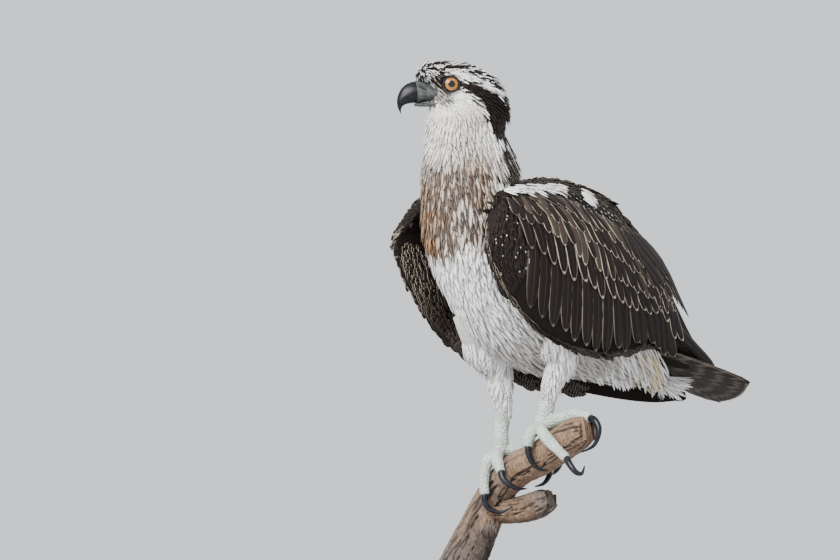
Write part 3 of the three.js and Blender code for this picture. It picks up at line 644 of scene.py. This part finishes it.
plumage = Paint("plumage", 0.72, Specular_IOR_Level=0.12)
lateral, along, number = plumage.parts(plumage.attribute("vane"))
streak, pale_edge, bars = plumage.parts(plumage.attribute("marks"))
across = (lateral * 2 - 1).maths("ABSOLUTE")
rim = across.maths("MAXIMUM", (along - 0.8) * 5)
barbs = (along * 150 - across * 45 + number * 40).maths("SINE") * 0.5 + 0.5
mottle = plumage.noise(EVEN, 240, 3)
tint = plumage.attribute("tint")
colour = plumage.mix((0, 0, 0), tint, barbs * 0.14 + mottle * 0.3 + 0.74)
dusk = (across * 30 - along * 9).maths("SINE") * 0.1 + (1.6 - across * 1.9)
colour = plumage.mix(colour, (0.05, 0.03, 0.019), dusk.clamp() * streak.clamp() * along.step(0.35, 0.6))
waves = ((along * 44 - across * 3.2 + number * 2).maths("SINE") - 0.15).step(0, 0.6)
colour = plumage.mix(colour, (0.17, 0.14, 0.115), waves * bars * across.step(0.05, 0.25))
colour = plumage.mix(colour, (0.72, 0.62, 0.47), (rim + pale_edge * 0.08).step(0.84, 0.99) * pale_edge)
spot = along.step(0.78, 0.88) * (1 - across.step(0.25, 0.5)) * (0 - streak).clamp()
colour = plumage.mix(colour, (0.60, 0.56, 0.49), spot)
shaft = 1 - across.step(0.03, 0.09)
colour = plumage.mix(colour, (0.16, 0.12, 0.09), shaft * 0.16)
plumage.link("Base Color", colour)
plumage.link("Roughness", mottle * 0.25 + 0.52)
plumage.bump(barbs * 0.5 + shaft, 0.00025, 0.5)


def wing_surface(side_name, spare=0.0):
    rows, side = WINGS[side_name]
    return lambda at, angle: wing_points(rows, side, at, angle, spare)


def wing_vanes(name, side_name, roots, tips, half_width, height, tint, marks, rng):
    """Long feathers on a wing: each centre line runs straight in (along, across) from root to tip."""
    rows, side = WINGS[side_name]
    stations = np.array([0, 0.12, 0.28, 0.45, 0.62, 0.78, 0.9, 0.97, 1.0])
    widths = np.array([0.3, 0.7, 0.95, 1.0, 1.0, 0.95, 0.72, 0.4, 0.08])
    path = roots[:, None] + (tips - roots)[:, None] * stations[None, :, None]
    path[..., 1] += 0.05 * rng.normal(size=len(roots))[:, None] * stations ** 2
    angle = np.arccos(np.clip(-path[..., 1], -1, 1))
    surface = wing_surface(side_name)
    points, normal, _, _ = surface_frame(surface, path[..., 0], np.clip(angle, 0.12, math.pi - 0.12))
    points = surface(path[..., 0], angle)
    rise = (height + rng.uniform(-0.2, 0.2, len(roots)))[:, None] - 1.6 * (1 - stations) ** 4
    centre = points + normal * rise[..., None]
    way = unit(np.gradient(centre, axis=1))
    across = unit(np.cross(normal, way))
    width = half_width[:, None] * widths
    thickness = np.broadcast_to(np.interp(stations, [0, 0.7, 1], [0.9, 0.7, 0.15]), width.shape)
    bake_root = np.stack([angle[:, 0] / (2 * math.pi), roots[:, 0]], -1) * 0.99
    obj = vanes(name, LARGE_SECTION, centre, across, normal, width, thickness, 0.08, tint, marks, bake_root,
                stations, rng)
    return obj


def wing_flow(surface):
    """The way a folded wing's small feathers lie: back and down, and straight back along its upper edge."""
    def flow(points, at, angle):
        _, _, along, around = surface_frame(surface, at, angle)
        place = -np.cos(angle)
        down = around * np.sign(np.sin(angle))[..., None]
        middle = ramp(place, -0.95, -0.3) * (1 - 0.8 * ramp(at, 0.6, 0.85)) * ramp(-place, -0.95, -0.5)
        steer = np.where(np.sin(angle) > 0, 0.15 + 0.75 * middle, 0.1)
        return along * (1 - 0.45 * steer)[..., None] + down * steer[..., None]
    return flow


def tiers(count, root, root_step, tip, tip_step):
    """Roots and tips of a tier of vanes in (along, across), each feather a step on from the last."""
    number = np.arange(count)[:, None]
    return np.array(root) + number * np.array(root_step), np.array(tip) + number * np.array(tip_step)


# A tier: name, count, first root, step of root, first tip, step of tip, half width, heights, shade, edge.
MEDIAN_TIERS = [
    (f"median_coverts_{row + 1}", 26, (0.05 + 0.01 * row, -0.24 - 0.16 * row), (0.021, 0),
     (0.09 + 0.01 * row, 0.12 - 0.22 * row), (0.0233, 0), 5.4 - 0.3 * row,
     (2.9 + 0.6 * row, 4.0 + 0.6 * row), 1.2, 0.95) for row in range(3)]
TIERS = [
    ("primaries", 8, (0.5, 0.55), (0.02, -0.05), (0.8, 0.55), (0.028, -0.09), 9.0, (-0.6, 0.9), 0.55, 0.12),
    ("secondaries", 16, (0.13, 0.1), (0.0305, -0.0145), (0.25, 0.93), (0.0345, 0.0), 8.6, (0.4, 2.6), 1.0,
     0.4),
    ("greater_coverts", 20, (0.06, -0.25), (0.028, -0.009), (0.17, 0.42), (0.031, -0.0075), 7.2, (2.0, 3.6),
     0.95, 0.85),
    *MEDIAN_TIERS,
    ("tertials", 5, (0.36, -0.55), (0.03, -0.06), (0.62, -0.1), (0.035, -0.16), 12.0, (4.6, 6.4), 1.2, 0.5)]
PALE_SHARE = 0.22
TUFT_COUNT = 70
TUFT_PARTS = ((0.0, 0.08), (0.08, 0.19), (0.25, 0.27))  # stretches along the wing
PALE_BROWN = np.array([0.04, 0.029, 0.021])
WING_RINGS, WING_AROUND = 90, 48
for side_name in WINGS:
    rng = np.random.default_rng(40 + len(side_name))
    points = wing_surface(side_name, -1.5)(*round_grid(0, 0.99, WING_RINGS, WING_AROUND))
    tint = np.broadcast_to(BROWN * 0.8, points.shape)
    blade = mesh_object(f"wing_{side_name}_skin", points, tube_faces(WING_RINGS, WING_AROUND), {"tint": tint})
    down.put_on(blade)
    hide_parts(f"wing_{side_name}")

    for tier, count, root, root_step, tip, tip_step, half_width, heights, shade, edge in TIERS:
        roots, tips = tiers(count, root, root_step, tip, tip_step)
        tint = BROWN * shade * rng.uniform(0.8, 1.2, (count, 1))
        if tier.startswith("median"):
            tint = tint + PALE_BROWN * (rng.uniform(size=(count, 1)) < PALE_SHARE)
        front = 0.25 + 0.75 * ramp(np.arange(count) / count, -0.1, 0.25)
        marks = np.stack([0 * front, edge * front, 0 * front], -1) * rng.uniform(0.85, 1.0, (count, 1))
        wing_vanes(f"wing_{side_name}_{tier}", side_name, roots, tips, np.full(count, half_width),
                   np.linspace(*heights, count), tint, marks, rng)

    cover = wing_surface(side_name, 0.0)
    spacing = partial(np.interp, xp=[0, 0.15, 0.4, 0.66], fp=[4.2, 5.4, 7.0, 9.0])
    at, angle = lattice(cover, 0.0, 0.66, spacing, rng)
    place = -np.cos(angle)
    outer = np.sin(angle) > 0
    keep = (~outer) | (at < 0.19) | (place < -0.2)
    at, angle, place, outer = at[keep], angle[keep], place[keep], outer[keep]
    size = np.interp(at, [0, 0.12, 0.35, 0.66], [8, 10.5, 16, 26]) * rng.uniform(0.9, 1.1, at.shape)
    lesser = (at < 0.2) & outer & (place > -0.4)
    bend_net = (~outer) * ramp(-at, -0.34, -0.2)
    barred = (~outer) * ramp(at, 0.3, 0.4)
    edge = np.where(lesser, 0.2, np.where(outer, 0.75, 0.95 * bend_net)) * rng.uniform(0.7, 1, at.shape)
    tint = BROWN * rng.uniform(0.8, 1.2, (len(at), 1))
    spots = np.where(lesser, rng.uniform(size=at.shape) < 0.14, ramp(place, -0.86, -0.76))
    spotted = outer * ramp(-at, -0.5, -0.3) * spots
    marks = np.stack([-spotted, edge * (1 - 0.6 * spotted), 0.9 * barred], -1)
    raise_by = np.where(outer, 0.13, 0.1) * ramp(at, -0.1, 0.05)
    half = size * np.where(outer, 0.28, 0.2)
    coverts = lay(f"wing_{side_name}_small_coverts", cover, (at, angle), wing_flow(cover), size, half,
                  raise_by, 170.0, tint, marks, rng)

    fluffed = wing_surface(side_name, 6.0)
    at = np.concatenate([rng.uniform(*part, TUFT_COUNT) for part in TUFT_PARTS])
    place = -0.62 - 0.5 * at + 0.045 * rng.normal(size=len(at))
    angle = np.arccos(np.clip(-place, -1, 1))
    tint = WHITE * rng.uniform(0.82, 1.0, (len(at), 1))
    tuft = lay(f"wing_{side_name}_shoulder_tuft", fluffed, (at, angle),
               wing_flow(fluffed), rng.uniform(9, 15, len(at)), rng.uniform(1.1, 1.9, len(at)),
               0.16, 90.0, tint, np.zeros((len(at), 3)), rng)


# Body coat: small overlapping vanes from the head to the vent and down both thighs, white below with painted
# grey shade under the belly, dark above, with the breast band's buff and streaks. Only what the wings hide is
# left bare.


def body_flow(points, at, angle):
    """Back along the belly, down the breast and neck, and back from the bill on the head."""
    z = points[..., 2]
    low, chest = np.array([0, 0.85, -0.5]), np.array([0, 0.15, -1.0])
    face = np.array([0.515, 0.857, -0.55])
    way = blend(low, chest, ramp(z, 320, 440))
    return blend(way, face, ramp(z, 535, 562))


def steady(*way):
    """A flow that runs one way everywhere."""
    return lambda points, at, angle: np.array(way) + 0 * points


def hidden_by_wing(points):
    """True where a point lies just inside a wing's outer side."""
    hidden = np.zeros(len(points), bool)
    at, angle = np.meshgrid(np.linspace(0.05, 0.8, 36), np.linspace(0.3, math.pi - 0.25, 18), indexing="ij")
    for side_name in WINGS:
        surface = wing_surface(side_name)
        middle, normal, _, _ = surface_frame(surface, at.ravel(), angle.ravel())
        apart = np.linalg.norm(points[:, None] - middle[None], axis=-1)
        nearest = apart.argmin(1)
        inside = ((points - middle[nearest]) * normal[nearest]).sum(-1) < -3
        hidden |= (apart.min(1) < 16) & inside
    return hidden


def body_surface(at, angle):
    return body_points(at, angle, -SKIN_DEPTH * np.clip(at * 12, 0, 1))


EYE_AHEAD, EYE_Z, EYE_HOLE = 15.7, 568.0, 8.4
MAPPED_AT = [0, 0.3, 0.5, 0.6, 0.68, 0.76, 1.0]
COAT_SPACING = partial(np.interp, xp=MAPPED_AT, fp=[5.2, 4.7, 3.9, 3.2, 2.6, 2.1, 1.9])
COAT_PARTS = {"vent": (0.02, 0.2), "belly": (0.2, 0.38), "breast": (0.38, 0.56), "neck": (0.56, 0.7),
              "head": (0.7, 0.995)}
for number, (part, (low, high)) in enumerate(COAT_PARTS.items()):
    rng = np.random.default_rng(60 + number)
    at, angle = lattice(body_surface, low, high, COAT_SPACING, rng)
    points = body_surface(at, angle)
    ahead, aside, z = head_place(points)
    eye_hole = (ahead - EYE_AHEAD) ** 2 + (z - EYE_Z) ** 2 < EYE_HOLE ** 2
    bill_hole = (ahead > 37) & (np.abs(aside) < 10) & (z < 574) & (z > 547)
    keep = ~(hidden_by_wing(points) | ((part == "head") & (eye_hole | bill_hole)))
    at, angle, points, ahead = at[keep], angle[keep], points[keep], ahead[keep]
    length = np.interp(at, MAPPED_AT, [38, 32, 25, 19, 14, 9.5, 7.5]) * rng.uniform(0.85, 1.15, at.shape)
    length = length * np.where((part == "head") & (ahead < -22), 1.7, 1.0)
    half = np.interp(at, MAPPED_AT, [2.9, 2.6, 2.1, 1.7, 1.25, 0.85, 0.75])
    half = half * rng.uniform(0.85, 1.15, at.shape)
    lift = np.interp(at, [0, 0.5, 0.7, 1.0], [0.22, 0.24, 0.33, 0.42])
    bend = np.interp(at, [0, 0.5, 0.7, 1.0], [130, 110, 56, 27])[:, None, None]
    colours, marks = body_colours(points, rng)
    coat = lay(f"coat_{part}", body_surface, (at, angle), body_flow, length, half, lift, bend, colours,
               marks * [1, 1, 0], rng)

for side_name, rows in (("left", THIGH_LEFT), ("right", THIGH_RIGHT)):
    rng = np.random.default_rng(80 + len(side_name))

    def thigh_surface(at, angle, rows=rows):
        return bar_points(rows, at, angle, -THIGH_DEPTH + 0 * at)

    at, angle = lattice(thigh_surface, 0.15, 0.97, partial(np.interp, xp=[0, 1], fp=[4.2, 2.2]), rng)
    length = np.interp(at, [0, 0.6, 1], [26, 18, 11]) * rng.uniform(0.85, 1.15, at.shape)
    colours = (WHITE - 0.06 * at[:, None]) * rng.uniform(0.88, 1.04, (len(at), 1))
    coat = lay(f"coat_thigh_{side_name}", thigh_surface, (at, angle), steady(0, 0.06, -1), length,
               length * 0.11, 0.2, 110.0, colours, np.zeros((len(at), 3)), rng)


# Tail: twelve closed feathers over a thin closed core, dark grey-brown with paler bars, swung a little to
# the left with its left edge up; on the lower feathers, the paler underside, the dark is painted shade. Long
# loose white and buff plumes under its root.

TAIL = [(2, 112, 324, 14, 4.5), (9, 156, 309, 19, 4.5), (17, 198, 296, 23, 4), (24, 238, 284, 26, 3),
        (30, 274, 274, 27, 1.8)]
TAIL_ROLL = math.radians(24)
TAIL_FEATHERS = 12
TAIL_AXIS = unit(np.array(TAIL[-1][:3], float) - np.array(TAIL[0][:3], float))
TAIL_LEVEL = unit(np.array([TAIL_AXIS[1], -TAIL_AXIS[0], 0.0]))
TAIL_ASIDE = TAIL_LEVEL * math.cos(TAIL_ROLL) + np.cross(TAIL_LEVEL, TAIL_AXIS) * math.sin(TAIL_ROLL)
TAIL_TOP = np.cross(TAIL_ASIDE, TAIL_AXIS)


def tail_points(at, angle, spare=0.0):
    """Flat ellipses along the tail's axis, half width cos(angle) aside and half thickness sin(angle) up."""
    row = smooth_rows(TAIL, at)
    width = ((row[..., 3] + spare) * np.cos(angle))[..., None]
    rise = ((row[..., 4] + spare) * np.sin(angle))[..., None]
    return row[..., :3] + width * TAIL_ASIDE + rise * TAIL_TOP


rng = np.random.default_rng(90)
points = tail_points(*round_grid(0, 0.93, 40, 32), -1.5)
tint = np.broadcast_to(BROWN * 0.7, points.shape)
core = mesh_object("tail_core", points, tube_faces(40, 32), {"tint": tint})
down.put_on(core)
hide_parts("tail")
place = np.linspace(-1, 1, TAIL_FEATHERS)
stations = np.array([0, 0.15, 0.35, 0.55, 0.75, 0.9, 0.97, 1.0])
for layer, height in (("upper", 1.6), ("lower", -1.2)):
    reach = (1.0 - 0.05 * np.abs(place) ** 2 - (0.02 if layer == "lower" else 0))[:, None] * stations
    row = smooth_rows(TAIL, reach)
    lean = np.sign(height) * (1 - np.abs(place))[:, None] * 1.4 + height + 0 * reach
    centre = row[..., :3] + (row[..., 3] * 0.72 * place[:, None])[..., None] * TAIL_ASIDE
    centre = centre + lean[..., None] * TAIL_TOP
    way = unit(np.gradient(centre, axis=1))
    across = unit(np.cross(TAIL_TOP, way))
    width = np.array([0.6, 0.9, 1, 1, 0.97, 0.8, 0.5, 0.15]) * np.full((TAIL_FEATHERS, 1), 9.5)
    thickness = np.broadcast_to(np.interp(stations, [0, 0.8, 1], [0.9, 0.6, 0.2]), width.shape)
    facing = np.broadcast_to(TAIL_TOP * np.sign(height), centre.shape)
    marks = np.tile([0, 0.2, 0.3], (TAIL_FEATHERS, 1))
    # Both layers share this dark tint; on the lower layer, the underside, it is painted shade.
    tint = np.array([0.024, 0.019, 0.017]) * rng.uniform(0.85, 1.15, (TAIL_FEATHERS, 1))
    bake_root = np.stack([0.5 + place * 0.3, 0 * place + 0.5 + 0.1 * np.sign(height)], -1)
    feathers = vanes(f"tail_feathers_{layer}", LARGE_SECTION, centre, across * np.sign(height), facing, width,
                     thickness, 0.06, tint, marks, bake_root, stations, rng)

PLUME_COUNT = 900
at = rng.uniform(0.0, 0.16, PLUME_COUNT)
angle = rng.normal(size=PLUME_COUNT) * 0.75
points = body_surface(at, angle)
tufts = (np.exp(-((points[:, 1] - 128 + 0.3 * points[:, 0]) / 5) ** 2)
         + np.exp(-((points[:, 1] - 152 + 0.3 * points[:, 0]) / 6) ** 2))
tint = blend(WHITE, np.array([0.72, 0.52, 0.22]), tufts * 0.75)
length = 30 + 14 * rng.uniform(size=PLUME_COUNT)
plumes = lay("coat_vent_plumes", body_surface, (at, angle), steady(0, 0.72, -0.7), length,
             np.full(PLUME_COUNT, 1.4), 0.24, 120.0, tint, np.zeros((PLUME_COUNT, 3)),
             rng)


# Bill and cere: a hooked black bill with a grey-green cere, nostril slits drawn as near-black bars of painted
# shade, and a grey lower mandible.
# Lofted in the head's own frame, on the solids' own sections.

UPPER_BILL = [(28, 572, 554, 10), (37, 573, 552.5, 9.2), (46, 573, 551.3, 8.2), (53, 571, 550.6, 7),
              (58.5, 566.5, 549.6, 5.6), (62, 560.5, 548, 4.2), (63.9, 554, 545.4, 2.9),
              (63.8, 547, 542, 1.7),
              (62.4, 541, 539.8, 0.6)]
LOWER_BILL = [(20, 553, 548.5, 10), (32, 552.5, 547.6, 8.8), (42, 551.6, 547.2, 7), (48, 551, 547.8, 5)]
HOOK_LEAN = 0.9


def head_points(ahead, aside, z):
    """Points in the bird's frame from the head's own frame."""
    return turned(np.stack([aside + 0 * ahead, NECK_AXIS_Y - ahead, z + 0 * ahead], -1), HEAD_TURN)


def bill_piece(name, rows, low, high, lean, swell):
    """Upright ellipses, narrower above, that lean forward with the hook. Swell adds to them near the face."""
    at, angle = round_grid(low, high, 90, 48)
    ahead, top, bottom, half = np.moveaxis(smooth_rows(rows, at), -1, 0)
    rise = ((top - bottom) / 2 + swell) * np.cos(angle)
    aside = (half + swell) * np.sin(angle) * (1 - 0.25 * np.cos(angle))
    points = head_points(ahead + lean * at ** 2 * rise, aside, (top + bottom) / 2 + rise)
    marks = np.stack([at, 0.5 + 0.5 * np.cos(angle), 0 * at], -1)
    return mesh_object(name, points, tube_faces(90, 48), {"marks": marks})


black_bill = Paint("bill_horn", 0.3, Specular_IOR_Level=0.16)
layers = black_bill.noise((60, 60, 240), 1.5, 5)
black_bill.colour((0.002, 0.002, 0.003), (0.010, 0.0105, 0.013), layers.step(0.35, 0.75))
black_bill.bump(layers, 0.0004, 0.35)
waxy = Paint("cere_skin", 0.5, Specular_IOR_Level=0.2)
pores = waxy.noise(EVEN, 900, 3)
stain = waxy.noise(EVEN, 190, 4)
waxy.colour((0.010, 0.012, 0.012), (0.07, 0.078, 0.07), stain.step(0.3, 0.7))
waxy.bump(pores, 0.0003, 0.5)
# The nostrils are openings; their near-black colour is painted shade.
shaded_slit = Paint("nostril_painted_shade", 0.8, Base_Color=(0.006, 0.006, 0.006, 1))

CERE_END = 0.27
upper = bill_piece("bill_upper_horn", UPPER_BILL, CERE_END - 0.03, 1, HOOK_LEAN, 0)
cere = bill_piece("cere_wax", UPPER_BILL, 0, CERE_END, HOOK_LEAN, 0.35)
lower = bill_piece("bill_lower_horn", LOWER_BILL, 0, 1, 0, -0.3)
for piece, paint, slot, node in ((upper, black_bill, "horn", "bill_upper"), (cere, waxy, "cere_skin", "cere"),
                                 (lower, waxy, "horn", "bill_lower")):
    paint.put_on(piece)
    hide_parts(node)
for side_name, side in (("left", 1), ("right", -1)):
    path = []
    for k in (0, 0.5, 1):
        place = head_points(np.array(38.0 + 7 * k), side * (8.6 - 0.7 * k), 562.5 + 4.5 * k)
        path.append((*place, 0.9 + 0.4 * math.sin(3 * k)))
    nostril = mesh_object(f"nostril_{side_name}", bar_grid(path, 24, 16), tube_faces(24, 16))
    shaded_slit.put_on(nostril)


# Eyes: an orange iris round a black pupil, set back behind a clear bulging cornea, with dark bare lids.
# Each is a ball with a dished front, a thin clear shell over it, and a ring of lid skin.

EYE_ASIDE, EYE_RADIUS = 18.0, 8.6
IRIS_RADIUS = 6.9
PUPIL_RADIUS = 3.4


def eye_grid(side, radius, dish):
    """A ball round the eye's centre. Dish flattens its outer cap by that share, for the iris."""
    polar, turn = round_grid(0.02, math.pi - 0.02, 60, 64)
    out = radius * np.cos(polar)
    out = np.where(polar < 1, out - dish * np.clip(out - radius * math.cos(0.92), 0, None), out)
    ring = radius * np.sin(polar)
    points = head_points(EYE_AHEAD + ring * np.cos(turn) + 0.08 * out, side * (EYE_ASIDE + out),
                         EYE_Z + ring * np.sin(turn))
    facing = np.where(polar < 1.6, ring, 99)
    values = np.stack([facing / 10, 0.5 + 0.5 * np.cos(turn), 0.5 + 0.5 * np.sin(turn)], -1)
    return points, values


iris = Paint("iris", 0.25)
ring, first, second = iris.parts(iris.attribute("marks"))
rays = iris.node("ShaderNodeTexNoise", {}, {"Vector": iris.attribute("marks"), "Scale": 9.0, "Detail": 6.0})
amber = iris.mix((0.34, 0.115, 0.003), (0.56, 0.235, 0.009), rays.step(0.35, 0.65))
amber = iris.mix(amber, (0.10, 0.035, 0.006), ring.step(IRIS_RADIUS / 10 - 0.12, IRIS_RADIUS / 10 - 0.01))
pupil_edge = ring.step(PUPIL_RADIUS / 10, PUPIL_RADIUS / 10 + 0.03)
iris.colour((0.003, 0.003, 0.004), amber, pupil_edge)
clear = Paint("cornea", 0.02, Base_Color=(0, 0, 0, 1), Alpha=0.22, Specular_IOR_Level=1.0, Coat_Weight=1.0)
lid_skin = Paint("lid_skin", 0.5, Specular_IOR_Level=0.12)
creases = lid_skin.noise(EVEN, 700, 3)
lid_skin.colour((0.004, 0.0037, 0.004), (0.016, 0.0155, 0.015), creases.step(0.3, 0.8))
lid_skin.bump(creases, 0.0004, 0.6)
for side_name, side in (("left", 1), ("right", -1)):
    points, values = eye_grid(side, EYE_RADIUS, 0.55)
    faces = tube_faces(60, 64)
    ball = mesh_object(f"eye_{side_name}_ball", points, faces[:, ::side], {"marks": values})
    iris.put_on(ball)
    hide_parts(f"eye_{side_name}")
    points, _ = eye_grid(side, EYE_RADIUS + 0.25, 0.0)
    cornea = mesh_object(f"eye_{side_name}_cornea", points, faces[:, ::side])
    clear.put_on(cornea)
    turn, tube = np.meshgrid(np.linspace(0, 2 * math.pi, 64, False), np.linspace(0, 2 * math.pi, 20, False),
                             indexing="ij")
    wide = 7.5 + 1.25 * np.cos(tube)
    squash = 0.9 + 0.1 * np.cos(turn) ** 2
    points = head_points(EYE_AHEAD + wide * np.cos(turn) * 1.05,
                         side * (EYE_ASIDE + 4.4 + 1.4 * np.sin(tube)),
                         EYE_Z + wide * squash * np.sin(turn))
    first_index = np.arange(64 * 20).reshape(64, 20)
    next_ring, next_side = np.roll(first_index, -1, 0), np.roll(first_index, -1, 1)
    corners = [first_index, next_side, np.roll(next_ring, -1, 1), next_ring]
    faces_of_ring = np.stack(corners, -1).reshape(-1, 4)
    lid = mesh_object(f"lid_{side_name}", points, faces_of_ring[:, ::side])
    lid_skin.put_on(lid)


# Floor, soft overcast light and the camera: a pale floor below, a broad key from the upper left, and the
# photo's viewpoint from the bird's front left, a little below its breast.

floor_paint = Paint("floor", 0.9, Base_Color=(0.55, 0.56, 0.58, 1))
bpy.ops.mesh.primitive_plane_add(size=40, location=(0, 0, 0))
floor = bpy.context.object
floor.name = "floor"
floor_paint.put_on(floor)

world = bpy.data.worlds.new("overcast")
world.use_nodes = True
world.node_tree.nodes["Background"].inputs["Color"].default_value = (0.56, 0.575, 0.605, 1)
world.node_tree.nodes["Background"].inputs["Strength"].default_value = 1.8
bpy.context.scene.world = world

CAMERA_AZIMUTH = math.radians(47)
CAMERA_RISE = math.radians(-4)
CAMERA_DISTANCE = 5.0
TARGET = np.array([-0.0750, -0.0804, 0.3809]) + SHIFT * MM
toward = np.array([math.sin(CAMERA_AZIMUTH) * math.cos(CAMERA_RISE),
                   -math.cos(CAMERA_AZIMUTH) * math.cos(CAMERA_RISE), math.sin(CAMERA_RISE)])


def aim(obj, place, target):
    """Puts obj at place, looking at target."""
    obj.location = place
    obj.rotation_euler = Vector(target - place).to_track_quat("-Z", "Y").to_euler()
    bpy.context.scene.collection.objects.link(obj)


for light_name, place, size, power in (("key", (0.7, -2.2, 2.0), 1.6, 220),
                                       ("rim", (-1.2, 1.2, 1.8), 1.2, 24)):
    lamp = bpy.data.lights.new(light_name, "AREA")
    lamp.size = size
    lamp.energy = power
    aim(bpy.data.objects.new(light_name, lamp), np.array(place), TARGET)

camera_data = bpy.data.cameras.new("camera")
SENSOR_WIDTH = 36  # mm, a camera's own setting
PHOTO_WIDTH = 0.84  # metres across the picture, at the bird
camera_data.lens = SENSOR_WIDTH * CAMERA_DISTANCE / PHOTO_WIDTH
camera_data.clip_end = 60
camera = bpy.data.objects.new("camera", camera_data)
aim(camera, TARGET + toward * CAMERA_DISTANCE, TARGET)
bpy.context.scene.camera = camera
